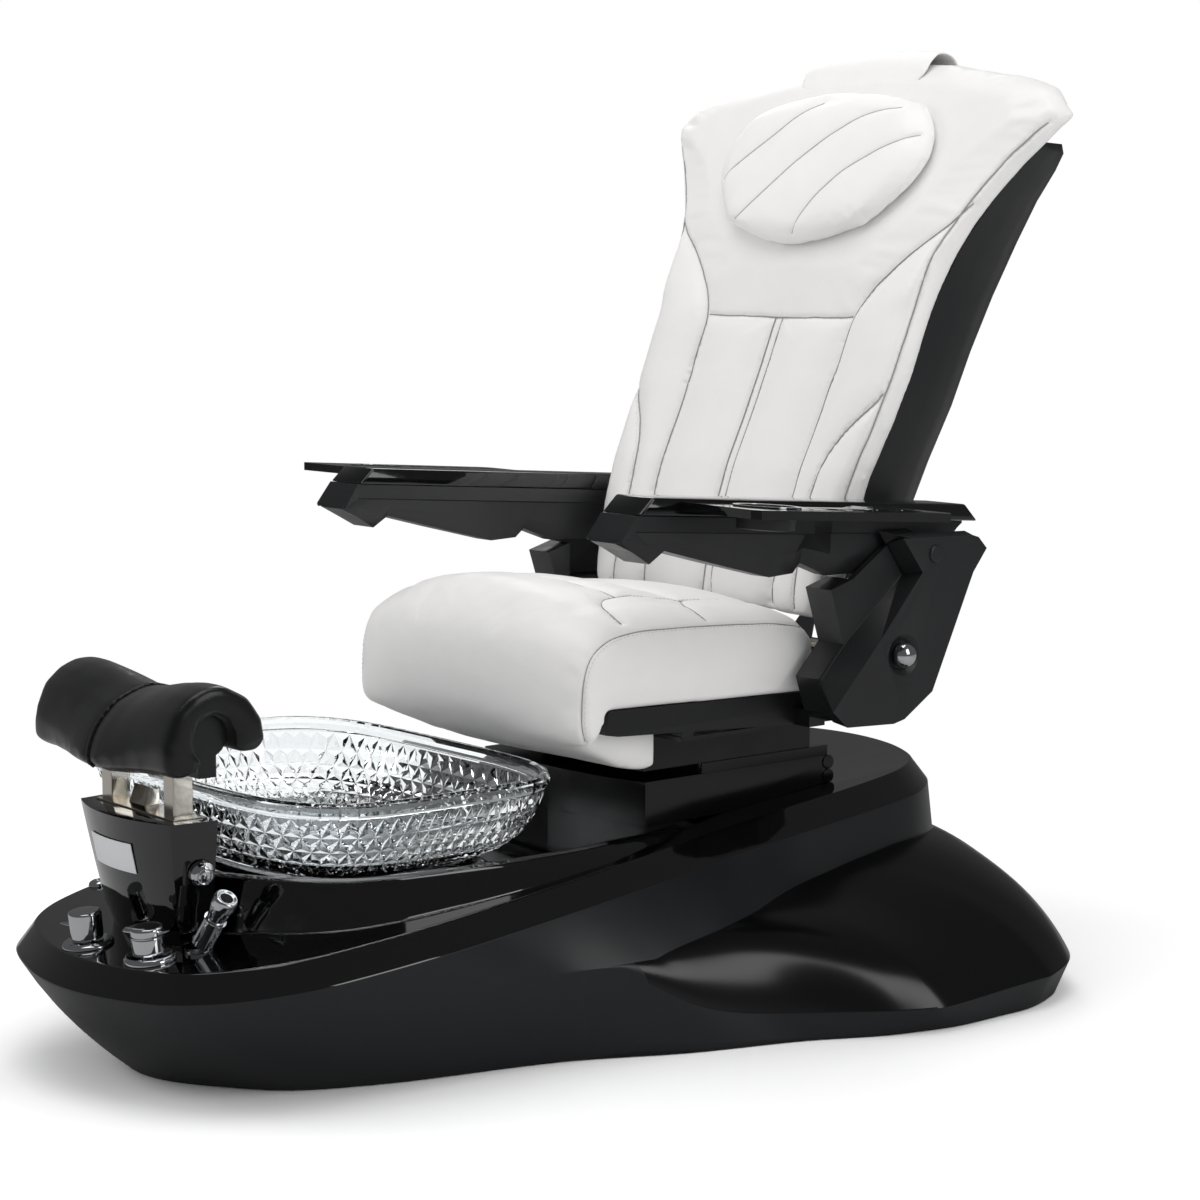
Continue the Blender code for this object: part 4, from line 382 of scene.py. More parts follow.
GEL, SATIN, ABS, ACRYLIC = gelcoat(), satin_gelcoat(), textured_abs(), polished_acrylic()
FENDER = satin_gelcoat("buffed_black_gelcoat", "#060607", 0.20, 0.24)
WHITE = leather("white_coated_leather", "#F1F0EF", 0.40)
PILLOW = leather("white_pillow_leather", "#F4F3F2", 0.42, 460, 0.00013)
VINYL = leather("black_coated_vinyl", "#0B0C0D", 0.24, 520, 0.00004, 0.1)
GLASS, CHROME = crystal(), chromed()
STEEL = brushed("brushed_stainless_steel", "#D6D0C6", 0.16)
PLATE = brushed("lacquered_aluminium_plate", "#E2E3E6", 0.38, 0.3)
BLACK_STEEL = powder_coat("black_powder_coated_steel", "#141516", 0.36)
GREY_STEEL = powder_coat("grey_powder_coated_steel", "#3A3C3F", 0.45)
CASTING = powder_coat("dark_grey_cast_housing", "#2B2D30", 0.5)
PIPE = powder_coat("grey_upvc_pipe", "#8C8F92", 0.45)
BRASS = brushed("cast_brass", "#B5924C", 0.35)
RUBBER = powder_coat("black_rubber", "#101010", 0.75)
SEAM = thread_or_painted_shade("pale_polyester_thread", "#D8D7D5")
# Painted shade: beads darker than the leather, laid in the seam grooves, stand for the shadow there.
PAINTED_SEAM_SHADE = thread_or_painted_shade("painted_seam_shade_bead", "#9B9A98")
PAINTED_PILLOW_SEAM_SHADE = thread_or_painted_shade("painted_pillow_seam_shade_bead", "#BDBCBA")

FINISH = {"gloss_black": GEL, "matte_black": ABS, "clear_glass": GLASS, "chrome": CHROME, "bright_metal": STEEL,
        "pale_plate": PLATE, "white_leather": WHITE, "black_vinyl": VINYL, "black_metal": BLACK_STEEL,
        "frame_steel": GREY_STEEL, "motor_grey": CASTING, "pipe_grey": PIPE, "valve_brass": BRASS}


def dress_nodes():
    """Every CAD node takes its slot's finish; what stands for a node comes later."""
    for name, obj in frame["nodes"].items():
        for holder in obj.material_slots:
            holder.material = FINISH[SLOTS[name]]


# ---------------------------------------------------------------- base hull

COLUMNS = 260
BOWL_MIDDLE = -0.371
HULL_CLEAR = 0.0010
LEDGE = 0.008
RIM_HALF = 0.529
WALL = 0.006
STAR = 0.0034
FOOT = [(-0.605, 0.114), (-0.536, 0.192), (-0.417, 0.246), (-0.191, 0.307), (-0.022, 0.385), (0.126, 0.435),
        (0.259, 0.495), (0.368, 0.517), (0.469, 0.517), (0.569, 0.488), (0.650, 0.410), (0.720, 0.270)]
DECK = [(-0.733, 0.095), (-0.700, 0.182), (-0.620, 0.248), (-0.530, 0.276), (-0.380, 0.285), (-0.160, 0.276),
        (0.009, 0.263), (0.181, 0.247), (0.380, 0.240), (0.500, 0.228), (0.575, 0.190), (0.615, 0.120)]
STAGE = [(-0.545, 0.125), (-0.450, 0.216), (-0.380, 0.238), (-0.157, 0.258), (0.020, 0.238), (0.150, 0.190),
        (0.205, 0.120)]
CREASE = monotone([(-0.10, 0.127), (-0.09, 0.130), (-0.026, 0.142), (0.097, 0.159), (0.269, 0.173), (0.387, 0.192),
        (0.50, 0.203), (0.65, 0.196)])
LIP = monotone([(-0.10, 0.1262), (-0.048, 0.121), (-0.02, 0.094), (0.03, 0.058), (0.089, 0.043), (0.168, 0.037),
        (0.28, 0.036), (0.45, 0.043), (0.60, 0.050), (0.772, 0.060)])


def deck_z(y):
    return 0.174 + 0.10 * (y + 0.746)


def half_plan(front, rear, widths):
    """Half a plan from front to rear: y runs as a cosine of the column, x is a monotone cubic of it."""
    t = np.linspace(0, 1, COLUMNS + 1)
    where = [math.acos(1 - 2 * (y - front) / (rear - front)) / math.pi for y, x in widths]
    half = monotone([(0, 0)] + [(w, x) for w, (y, x) in zip(where, widths)] + [(1, 0)])
    x = half(t)
    x[[0, -1]] = 0
    return np.stack([x, front + (rear - front) * (1 - np.cos(np.pi * t)) / 2, np.zeros_like(t)], -1)


def plan_normal(plan):
    along = np.empty_like(plan)
    along[1:-1], along[0], along[-1] = plan[2:] - plan[:-2], plan[1] - plan[0], plan[-1] - plan[-2]
    along = unit(along)
    out = np.stack([along[:, 1], -along[:, 0], np.zeros(len(plan))], -1)
    out[0], out[-1] = (0, -1, 0), (0, 1, 0)
    return out


def filleted(rows, radii):
    """Rows of key points, each corner row eased by five rows within its radius; flats stay flat."""
    out = [rows[0]]
    for i in range(1, len(rows) - 1):
        a, b, c = rows[i - 1], rows[i], rows[i + 1]
        r = radii.get(i)
        if r is None:
            out.append(b)
            continue
        into = np.linalg.norm(a - b, axis=-1, keepdims=True)
        leave = np.linalg.norm(c - b, axis=-1, keepdims=True)
        for s in (2.2, 1.0):
            out.append(b + (a - b) * np.minimum(s * r / np.maximum(into, 1e-9), 0.22 * s))
        p, q = out[-1], b + (c - b) * np.minimum(r / np.maximum(leave, 1e-9), 0.22)
        out.append((p + q + 2 * b) / 4)
        out.append(q)
        out.append(b + (c - b) * np.minimum(2.2 * r / np.maximum(leave, 1e-9), 0.484))
    out.append(rows[-1])
    return np.stack(out)


def make_base():
    """Rows from the floor up: rim band, rear fender (a quadratic Bezier from lip to crease, eased in from
    y = -0.27 to y = -0.20), side panel, bevel, deck and the bowl's platform; each row is an offset or a blend of
    three plans."""
    foot, deck, stage = half_plan(-0.650, 0.772, FOOT), half_plan(-0.746, 0.635, DECK), half_plan(-0.590, 0.235, STAGE)
    side, stage_side, foot_side = plan_normal(deck), plan_normal(stage), plan_normal(foot)
    edge = deck + np.stack([0 * deck[:, 0], 0 * deck[:, 0], deck_z(deck[:, 1])], -1)
    low = edge + side * 0.026
    low[:, 2] -= 0.034
    scoop = ease(low[:, 1], -0.27, -0.20)[:, None]
    ground = foot.copy()
    ground[:, 2] = HULL_CLEAR

    def plain_side(share):
        return low + (ground - low) * share + side * (0.012 * 4 * share * (1 - share))

    def at_height(z):
        return plain_side(((low[:, 2] - z) / low[:, 2])[:, None])

    ledge = low + side * LEDGE
    turn_z, lip_z = CREASE(ledge[:, 1]), LIP(foot[:, 1])
    turn, lip = at_height(turn_z), at_height(lip_z)
    turn += (ledge - turn) * ease(low[:, 1], 0.0, 0.30)[:, None]
    out = ground + foot_side * (0.020 * ease(foot[:, 1], 0, 0.3) * (1 - ease(foot[:, 1], 0.62, 0.76)))[:, None]
    out[:, 0] = np.minimum(out[:, 0], RIM_HALF)
    lip += (out - lip) * ease(low[:, 1], -0.08, 0.22)[:, None]
    turn[:, 2], lip[:, 2] = turn_z, lip_z
    pull = turn + (lip - turn) * 0.76
    pull[:, 2] = lip_z + 0.74 * (turn_z - lip_z)

    def row(share, bowed):
        plain = plain_side(share)
        return plain + (bowed - plain) * scoop

    tracks = [low, row(0.175, (low + turn) / 2), row(0.35, turn)]
    for u in np.linspace(0, 1, 22)[1:-1]:
        share = float(np.interp(u, [0, 0.25, 0.5, 0.75, 1], [0.35, 0.52, 0.66, 0.79, 0.90]))
        tracks.append(row(share, turn * (1 - u) ** 2 + pull * 2 * u * (1 - u) + lip * u * u))
    tracks += [row(0.90, lip), row(1.0, ground)]
    lower = np.stack(tracks[::-1])
    wall = stage.copy()
    wall[:, 2] = np.minimum(deck_z(stage[:, 1]), 0.266)
    top = stage - stage_side * 0.014
    top[:, 0] = np.maximum(top[:, 0], 0)
    shoulder = stage + (top - stage) * 0.55
    shoulder[:, 2] = 0.264
    top[:, 2] = 0.268
    spine = top.copy()
    spine[:, 0] = 0
    upper = filleted(np.stack([low, edge, wall, shoulder, top, (top + spine) / 2, spine]),
            {1: 0.0016, 2: 0.002, 3: 0.003, 4: 0.002})
    n = len(lower)
    rows = [lower[0], lower[0] + (lower[1] - lower[0]) * 0.15]
    rows += list(lower[1:2] + (lower[0:1] - lower[1:2]) * 0.06) + [lower[1]]
    lip_row = len(rows) - 1
    rows += list(lower[1:2] + (lower[2:3] - lower[1:2]) * 0.25)
    rows += list(lower[2:n - 3])
    k = n - 3
    corner = filleted(np.stack([lower[k - 1], lower[k], lower[k + 1]]), {1: 0.0016})[1:-1]
    crease_row = len(rows) + 2
    rows += list(corner) + [lower[n - 2]]
    low_row = len(rows) + 2
    corner = filleted(np.stack([lower[n - 2], low, edge]), {1: 0.0015})[1:-1]
    rows += list(corner)
    rows = np.concatenate([np.stack(rows), upper[1:]])
    rows[:, [0, -1], 0] = 0
    rows[-1, :, 0] = 0
    mirrored = rows[:, ::-1].copy()
    mirrored[..., 0] *= -1
    whole = np.concatenate([rows, mirrored[:, 1:-1]], 1)
    row_at = np.arange(len(whole) - 1)[:, None]
    behind = np.minimum(whole[lip_row, :, 1], np.roll(whole[lip_row, :, 1], -1))[None] > -0.085
    fender = (row_at >= lip_row) & (row_at < crease_row) & behind
    slots = np.where(fender, 2, np.where(row_at < low_row, 1, 0))
    mesh = grid_mesh("moulded_base_skin", whole, around=True, angle=50, slots=slots)
    with edited(mesh) as bm:
        if sum(f.normal.z * f.calc_area() for f in bm.faces) < 0:
            bmesh.ops.reverse_faces(bm, faces=bm.faces)
    base = object_of("moulded_base", mesh, GEL, "base", ("base_shell",))
    mesh.materials.append(SATIN)
    mesh.materials.append(FENDER)
    wall_step = base.modifiers.new("wall", "SOLIDIFY")
    wall_step.thickness = WALL
    wall_step.offset = -1.0
    return base


# ---------------------------------------------------------------- bowl

def make_bowl():
    """A superellipse carried up a profile. The wall is a lattice of triangles, alternate rows shifted by half a
    column; each triangle's middle stands STAR proud, so that six wedges meet in a star at every corner."""
    sides, a, b = 76, 0.330, 0.223

    def ring(share, z, square, shift=0.0):
        t = 2 * np.pi * (np.arange(sides) + shift) / sides
        reach = (np.abs(np.cos(t)) ** square + np.abs(np.sin(t)) ** square) ** (-1 / square)
        return np.stack([a * share * reach * np.cos(t), BOWL_MIDDLE + b * share * reach * np.sin(t),
                np.full(sides, z)], -1)

    share = monotone([(0, 0.735), (0.167, 0.815), (0.333, 0.872), (0.5, 0.912), (0.667, 0.940), (0.833, 0.962),
            (1, 0.980)])
    height = monotone([(0, 0.279), (0.167, 0.287), (0.333, 0.298), (0.5, 0.312), (0.667, 0.328), (0.833, 0.346),
            (1, 0.3665)])
    rows = 6
    wall = []
    for k in range(rows):
        u = k / (rows - 1)
        wall.append(ring(float(share(u)) - 0.004, float(height(u)), 2.9 + 1.1 * u, 0.5 * (k % 2)))
    low = [ring(f, z, q) for f, z, q in ((0.074, 0.2684, 2.0), (0.30, 0.2684, 2.2), (0.66, 0.2684, 2.6),
            (0.70, 0.2705, 2.8), (0.715, 0.2735, 2.9), (0.726, 0.2775, 2.9))]
    high = [ring(f, z, q) for f, z, q in ((0.978, 0.3685, 4.0), (0.988, 0.3700, 4), (0.997, 0.3735, 4),
            (1.0, 0.3785, 4), (0.998, 0.3840, 4), (0.990, 0.3877, 4), (0.980, 0.3890, 4), (0.968, 0.3885, 4),
            (0.958, 0.386, 4), (0.950, 0.381, 4), (0.943, 0.373, 4), (0.937, 0.362, 4), (0.928, 0.350, 4),
            (0.917, 0.338, 3.9), (0.903, 0.324, 3.8), (0.885, 0.311, 3.7), (0.862, 0.301, 3.6), (0.825, 0.2945, 3.4),
            (0.770, 0.2900, 3.2), (0.690, 0.2875, 3.0), (0.45, 0.2860, 2.4), (0.074, 0.2855, 2.0))]
    points = np.stack(low + wall + high)
    first = len(low)
    count = len(points)
    verts = points.reshape(-1, 3)
    index = np.arange(count * sides).reshape(count, sides)
    faces, cells = [], []
    for k in range(count):
        p, q = index[k], index[(k + 1) % count]
        pn, qn = np.roll(p, -1), np.roll(q, -1)
        if not first <= k < first + rows - 1:
            faces += np.stack([p, pn, qn, q], -1).tolist()
        elif (k - first) % 2:
            cells += [np.stack([p, pn, qn], -1), np.stack([p, qn, q], -1)]
        else:
            cells += [np.stack([p, pn, q], -1), np.stack([pn, qn, q], -1)]
    cells = np.concatenate(cells)
    corner = verts[cells]
    proud = unit(np.cross(corner[:, 1] - corner[:, 0], corner[:, 2] - corner[:, 0]))
    proud *= np.sign((proud[:, :2] * (corner.mean(1)[:, :2] - (0, BOWL_MIDDLE))).sum(1))[:, None]
    top = len(verts) + np.arange(len(cells))
    verts = np.vstack([verts, corner.mean(1) + proud * STAR])
    for i, j in ((0, 1), (1, 2), (2, 0)):
        faces += np.stack([cells[:, i], cells[:, j], top], -1).tolist()
    mesh = tidy(mesh_of("cut_glass_bowl", verts, faces), angle=9)
    return object_of("crystal_bowl", mesh, GLASS, "base", ("bowl",))


# ---------------------------------------------------------------- chrome

DECK_UP = unit(np.array([0, -0.10, 1.0]))


def on_deck(x, y, lift=GAP):
    return np.array([x, y, deck_z(y)]) + DECK_UP * lift


def make_drain():
    lathe("drain_grate", [(0, 0.0035), (0.012, 0.0036), (0.0135, 0.0022), (0.020, 0.0022), (0.0215, 0.0040),
            (0.029, 0.0034), (0.033, 0.0010), (0.033, 0.0), (0.0234, 0.0), (0.0234, -0.025), (0.019, -0.027),
            (0.019, -0.045), (0, -0.045)], (0, BOWL_MIDDLE, 0.2858), (0, 0, 1), "base", ("drain",), soft=0.0008)


def lever(name, start, end, wide, thin, body, tip=0.35, rise=0.0):
    """A flattened tapering bar with a rounded far end: ovals along a line that curls up as rise * t^3."""
    start, end = np.array(start, float), np.array(end, float)
    t = np.linspace(0, 1, 28)
    radius = wide * (1 - (1 - tip) * t) * np.sqrt(np.clip(1 - ((t - 0.86) / 0.14).clip(0) ** 2, 0.02, 1))
    path = start + (end - start) * t[:, None] + DECK_UP * (rise * t ** 3)[:, None]
    ring = swept(path, radius, 24, np.broadcast_to(DECK_UP, (28, 3)), flat=thin / wide)
    return object_of(name, grid_mesh(name, ring, around=True, ends=True, angle=40), CHROME, body, ())


def make_taps():
    hot, cold = on_deck(0.105, -0.690), on_deck(-0.022, -0.708)
    dished = [(0.0212, 0.0052), (0.0245, 0.0060), (0.0285, 0.0074), (0.0305, 0.0070), (0.0330, 0.0038), (0.0340, 0.0),
            (0.0086, 0.0), (0.0086, 0.0050)]
    flat = [(0.0212, 0.0066), (0.0290, 0.0062), (0.0320, 0.0046), (0.0338, 0.0020), (0.0340, 0.0), (0.0086, 0.0),
            (0.0086, 0.0064)]
    lathe("hot_tap_ring", dished, hot, DECK_UP, "base", ("hot_escutcheon",), soft=0.0008, ring=True, steps=96)
    lathe("cold_tap_ring", flat, cold, DECK_UP, "base", ("cold_escutcheon",), soft=0.0008, ring=True, steps=96)
    lathe("hot_tap_body", [(0, 0.0452), (0.0150, 0.0450), (0.0195, 0.0440), (0.0215, 0.0415), (0.0215, 0.0335),
            (0.0206, 0.0325), (0.0206, 0.0310), (0.0212, 0.0300), (0.0212, 0.0130), (0.0204, 0.0088), (0.008, 0.0085),
            (0.008, -0.013), (0, -0.013)], hot, DECK_UP, "hot_tap", ("hot_knob",), soft=0.0010, steps=96)
    lathe("cold_tap_body", [(0, 0.0452), (0.0190, 0.0450), (0.0208, 0.0440), (0.0215, 0.0420), (0.0215, 0.0180),
            (0.0210, 0.0100), (0.0204, 0.0088), (0.008, 0.0085), (0.008, -0.013), (0, -0.013)], cold, DECK_UP,
            "cold_tap", ("cold_knob",), soft=0.0010, steps=96)
    a = math.radians(25)
    reach = np.array([math.cos(a), math.sin(a), 0])
    lever("hot_lever_pointed", hot + DECK_UP * 0.0365, hot + DECK_UP * 0.0365 + reach * 0.036, 0.0105, 0.0042,
          "hot_tap", 0.16, 0.006)
    lever("hot_lever_round", hot + DECK_UP * 0.0370, hot + DECK_UP * 0.0360 - reach * 0.034, 0.0110, 0.0050,
          "hot_tap", 0.75)
    a = math.radians(200)
    reach = np.array([math.cos(a), math.sin(a), 0])
    lever("cold_lever", cold + DECK_UP * 0.0250, cold + DECK_UP * 0.0225 + reach * 0.045, 0.0120, 0.0048, "cold_tap",
          0.16)
    for name, at, body in (("hot_ring_screw", hot, "base"), ("cold_ring_screw", cold, "base")):
        spot = at + DECK_UP * 0.0058 + np.array([0.0165, -0.0225, -0.0016])
        lathe(name, [(0, 0.0020), (0.0020, 0.0018), (0.0028, 0.0), (0, 0.0)], spot, DECK_UP, body, steps=24,
              soft=0.0003)
    lathe("air_jet", [(0, 0.0045), (0.0045, 0.0045), (0.0052, 0.0068), (0.0095, 0.0062), (0.0130, 0.0040),
            (0.0145, 0.0004), (0.0145, 0.0), (0, 0.0)], on_deck(-0.262, -0.560), DECK_UP, "base", ("air_nozzle",))


def make_sprayer():
    lean = unit(np.array([0.58, 0.10, 0.81]))
    foot = on_deck(0.122, -0.628)
    top = foot + lean * 0.045
    machined("spray_holder", CHROME, "base", 0.0008, 3)
    lathe("sprayer_head", [(0, 0.0470), (0.0105, 0.0480), (0.0125, 0.0495), (0.0150, 0.0485), (0.0163, 0.0455),
            (0.0165, 0.036), (0.0150, 0.026), (0.0128, 0.016), (0.0120, 0.0108), (0.0100, 0.0106), (0.0100, -0.034),
            (0, -0.034)], top, lean, "sprayer", ("hand_sprayer",), soft=0.0010)
    lathe("spray_face", [(0, 0.0486), (0.0085, 0.0482), (0.0092, 0.0474), (0, 0.0474)], top, lean, "sprayer", (),
            RUBBER, 40, 0.0003)


def make_diverter():
    at, out = np.array([0.113753, -0.618349, 0.282649]), np.array([0.974340, -0.158682, -0.159631])
    lathe("diverter_dial", [(0, 0.0155), (0.0070, 0.0150), (0.0082, 0.0138), (0.0092, 0.0132), (0.0104, 0.0142),
            (0.0138, 0.0118), (0.0166, 0.0064), (0.0178, 0.0010), (0.0178, 0.0), (0, 0.0)], at, out, "diverter",
            ("diverter_knob",), soft=0.0009)


def make_tower():
    machined("tower", GEL, "base", 0.0022, 3)
    machined("tower_plate", STEEL, "base", 0.0004, 2)
    machined("label_plate", PLATE, "base", 0.0003, 2)
    for side in ("left", "right"):
        machined("post_" + side, STEEL, "footrest", 0.0009, 2)


# ---------------------------------------------------------------- soft goods

def nearest(bvh, points):
    found = [bvh.find_nearest(Vector(p)) for p in points]
    return np.array([f[0] for f in found]), np.array([f[1] for f in found])


def evened(p, rounds):
    """A moving mean of the rows between the first and the last, in place."""
    for _ in range(rounds):
        p[1:-1] = p[1:-1] * 0.5 + (p[2:] + p[:-2]) * 0.25


def dense(points, step):
    """The same polyline at even steps, eased by a moving mean of its corners."""
    p = np.asarray(points, float)
    d = np.concatenate([[0], np.cumsum(np.linalg.norm(np.diff(p, axis=0), axis=1))])
    n = max(int(d[-1] / step), 4)
    t = np.linspace(0, d[-1], n + 1)
    out = np.stack([np.interp(t, d, p[:, k]) for k in range(3)], -1)
    evened(out, 10)
    return out


def coords(mesh):
    v = np.empty(len(mesh.vertices) * 3)
    mesh.vertices.foreach_get("co", v)
    return v.reshape(-1, 3)


def vertex_normals(mesh):
    v = np.empty(len(mesh.vertices) * 3)
    mesh.vertex_normals.foreach_get("vector", v)
    return v.reshape(-1, 3)


def set_coords(mesh, v):
    mesh.vertices.foreach_set("co", v.ravel())
    mesh.update()


def distance_to(v, lines):
    """Distance from each vertex to the nearest of the seam points, by blocks."""
    far = np.full(len(v), 1.0)
    points = np.concatenate(lines)
    for k in range(0, len(points), 40):
        block = points[k:k + 40]
        far = np.minimum(far, np.linalg.norm(v[:, None] - block[None], axis=-1).min(1))
    return far


def bvh_of(mesh):
    v = coords(mesh)
    return BVHTree.FromPolygons([Vector(p) for p in v], [tuple(p.vertices) for p in mesh.polygons])


def apply_all(piece):
    graph = bpy.context.evaluated_depsgraph_get()
    mesh = bpy.data.meshes.new_from_object(piece.evaluated_get(graph), depsgraph=graph)
    piece.modifiers.clear()
    old = piece.data
    piece.data = mesh
    bpy.data.meshes.remove(old)
    return piece


def voxelled(name, mesh, voxel, rounds=4):
    """The mesh remeshed in voxels and relaxed, as an object of its own."""
    piece = bpy.data.objects.new(name, mesh)
    bpy.context.scene.collection.objects.link(piece)
    step = piece.modifiers.new("voxels", "REMESH")
    step.mode = "VOXEL"
    step.voxel_size = voxel
    step.use_smooth_shade = True
    relax = piece.modifiers.new("relax", "SMOOTH")
    relax.factor = 0.5
    relax.iterations = rounds
    return apply_all(piece)


def inflate(piece, seams, pressure, cap, frames, hold=0.006, keep=None, stiff=12):
    """Cloth under pressure, pinned at its seams; no point may move further than `cap`."""
    mesh = piece.data
    start = coords(mesh)
    weight = np.clip(1 - distance_to(start, seams) / hold, 0, 1) if seams else np.zeros(len(start))
    if keep is not None:
        weight = np.maximum(weight, keep(start))
    group = piece.vertex_groups.new(name="sewn")
    for k in np.nonzero(weight > 0.02)[0]:
        group.add([int(k)], float(weight[k]), "REPLACE")
    cloth = piece.modifiers.new("cloth", "CLOTH")
    s = cloth.settings
    s.quality = 5
    s.mass = 0.4
    s.tension_stiffness = s.compression_stiffness = stiff
    s.shear_stiffness = stiff / 2
    s.bending_stiffness = 0.8
    s.use_pressure = True
    s.uniform_pressure_force = pressure
    s.vertex_group_mass = "sewn"
    s.effector_weights.gravity = 0
    cloth.collision_settings.use_collision = False
    cloth.collision_settings.use_self_collision = False
    cloth.point_cache.frame_start, cloth.point_cache.frame_end = 1, frames
    scene = bpy.context.scene
    for f in range(1, frames + 1):
        scene.frame_set(f)
    graph = bpy.context.evaluated_depsgraph_get()
    moved = coords(piece.evaluated_get(graph).data)
    scene.frame_set(1)
    piece.modifiers.clear()
    shift = moved - start
    size = np.linalg.norm(shift, axis=1, keepdims=True)
    shift *= np.minimum(1, cap / np.maximum(size, 1e-9))
    set_coords(piece.data, start + shift)
    piece.vertex_groups.clear()
    return piece


def creased(piece, seams, depth, width):
    """Sinks the surface along its seams: depth times exp(-(distance / width) squared)."""
    v = coords(piece.data)
    near = distance_to(v, seams)
    v -= vertex_normals(piece.data) * (depth * np.exp(-(near / width) ** 2))[:, None]
    set_coords(piece.data, v)


def stitches(name, lines, bvh, offset, body, pitch=0.0070, length=0.0046, radius=0.00055, lift=0.0002):
    """Thread dashes beside the seams: each is a four-sided spindle of three rings laid on the surface."""
    starts, ends, ups = [], [], []
    for line in lines:
        for shift in offset:
            path = dense(line, pitch)
            on, up = nearest(bvh, path)
            side = unit(np.cross(unit(np.gradient(path, axis=0)), up))
            on, up = nearest(bvh, on + side * shift)
            along = unit(np.gradient(on, axis=0))
            starts.append(on - along * length / 2 + up * lift)
            ends.append(on + along * length / 2 + up * lift)
            ups.append(up)
    a, b, up = np.concatenate(starts), np.concatenate(ends), np.concatenate(ups)
    along = unit(b - a)
    side = unit(np.cross(along, up))
    t = np.array([0, 0.5, 1.0])
    fat = np.array([0.45, 1.0, 0.45]) * radius
    q = np.linspace(0, 2 * np.pi, 4, endpoint=False) + np.pi / 4
    ring = (a[:, None, None] + (b - a)[:, None, None] * t[None, :, None, None] + fat[None, :, None,
            None] * (np.cos(q)[None, None, :, None] * side[:, None, None] + np.sin(q)[None, None, :, None] * up[:,
            None, None]))
    n = len(a)
    index = np.arange(n * 12).reshape(n, 3, 4)
    p, r = index[:, :-1], index[:, 1:]
    quads = np.stack([p, np.roll(p, -1, 2), np.roll(r, -1, 2), r], -1).reshape(-1, 4)
    caps = np.concatenate([index[:, 0, ::-1], index[:, 2]])
    mesh = mesh_of(name, ring.reshape(-1, 3), quads.tolist() + caps.tolist())
    with edited(mesh) as bm:
        bmesh.ops.recalc_face_normals(bm, faces=bm.faces)
    return object_of(name, mesh, SEAM, body, ())


def welt(name, line, bvh, radius, mat, body, sink=0.3, closed=False):
    """Piping: a round cord in a sleeve, half sunk along a seam."""
    on, up = nearest(bvh, line)
    evened(up, 6)
    up = unit(up)
    path = on + up * radius * (1 - sink)
    points = swept(path, radius, 8, up, closed)
    return object_of(name, grid_mesh(name, points, around=True, along=closed, ends=not closed, angle=60), mat, body,
            ())


def relaxed(piece, rounds):
    step = piece.modifiers.new("relax", "SMOOTH")
    step.factor, step.iterations = 0.5, rounds
    apply_all(piece)


def painted_shade_beads(name, lines, bvh, mat, body, radius=0.0010, lift=0.0003):
    """Painted shade between two panels: a thin round bead, darker than the leather, laid in the groove of each seam to
    stand for its shadow.
    """
    verts, faces, at = [], [], 0
    for line in lines:
        path, up = nearest(bvh, dense(line, 0.003))
        evened(path, 14)
        evened(up, 14)
        tube = swept(path + up * lift, radius, 6, unit(up))
        n = len(tube)
        index = at + np.arange(n * 6).reshape(n, 6)
        verts.append(tube.reshape(-1, 3))
        p, q = index[:-1], index[1:]
        faces += np.stack([p, np.roll(p, -1, 1), np.roll(q, -1, 1), q], -1).reshape(-1, 4).tolist()
        faces += [index[0, ::-1].tolist(), index[-1].tolist()]
        at += n * 6
    mesh = mesh_of(name, np.vstack(verts), faces)
    return object_of(name, tidy(mesh, angle=80), mat, body, ())


def cushion(name, node_name, body, mat, voxel, seams, pressure, cap, frames, crease, keep=None, relax=4,
        levels=1, after=2, shape=None):
    """A padded cover: remeshed, drawn in at its seams, filled by cloth pressure and subdivided."""
    piece = voxelled(name, copied(node_name), voxel, relax)
    mesh = piece.data
    if shape is not None:
        set_coords(mesh, shape(coords(mesh)))
    bvh = bvh_of(mesh)
    lines = [nearest(bvh, dense(line, 0.004))[0] for line in seams]
    if lines:
        creased(piece, lines, crease[0], crease[1])
        bvh = bvh_of(mesh)
        lines = [nearest(bvh, line)[0] for line in lines]
    inflate(piece, lines, pressure, cap, frames, keep=keep)
    if after:
        relaxed(piece, after)
    if levels:
        subdivided(piece, levels)
        apply_all(piece)
    if lines:
        bvh = bvh_of(piece.data)
        lines = [nearest(bvh, line)[0] for line in lines]
        creased(piece, lines, crease[2], crease[3])
    piece.data.materials.clear()
    piece.data.materials.append(mat)
    piece.data.shade_smooth()
    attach(piece, body)
    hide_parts(node_name)
    return piece, lines


back_line = monotone([(0.548, 0.318), (0.707, 0.353), (0.865, 0.424), (0.975, 0.470), (1.138, 0.555), (1.295, 0.637),
        (1.364, 0.673)])


def evenly(points, count):
    """Pairs resampled at `count` even steps of their index, as two rows."""
    p = np.array(points, float)
    return [np.interp(np.linspace(0, len(p) - 1, count), np.arange(len(p)), p[:, k]) for k in (0, 1)]


def back_path(points, off=0.010, count=60):
    """(x, z) points laid `off` in front of the back's front."""
    x, z = evenly(points, count)
    return np.stack([x, back_line(z) - off, z], -1)


def both_sides(paths):
    out = []
    for p in paths:
        out.append(p)
        m = p.copy()
        m[:, 0] *= -1
        out.append(m)
    return out


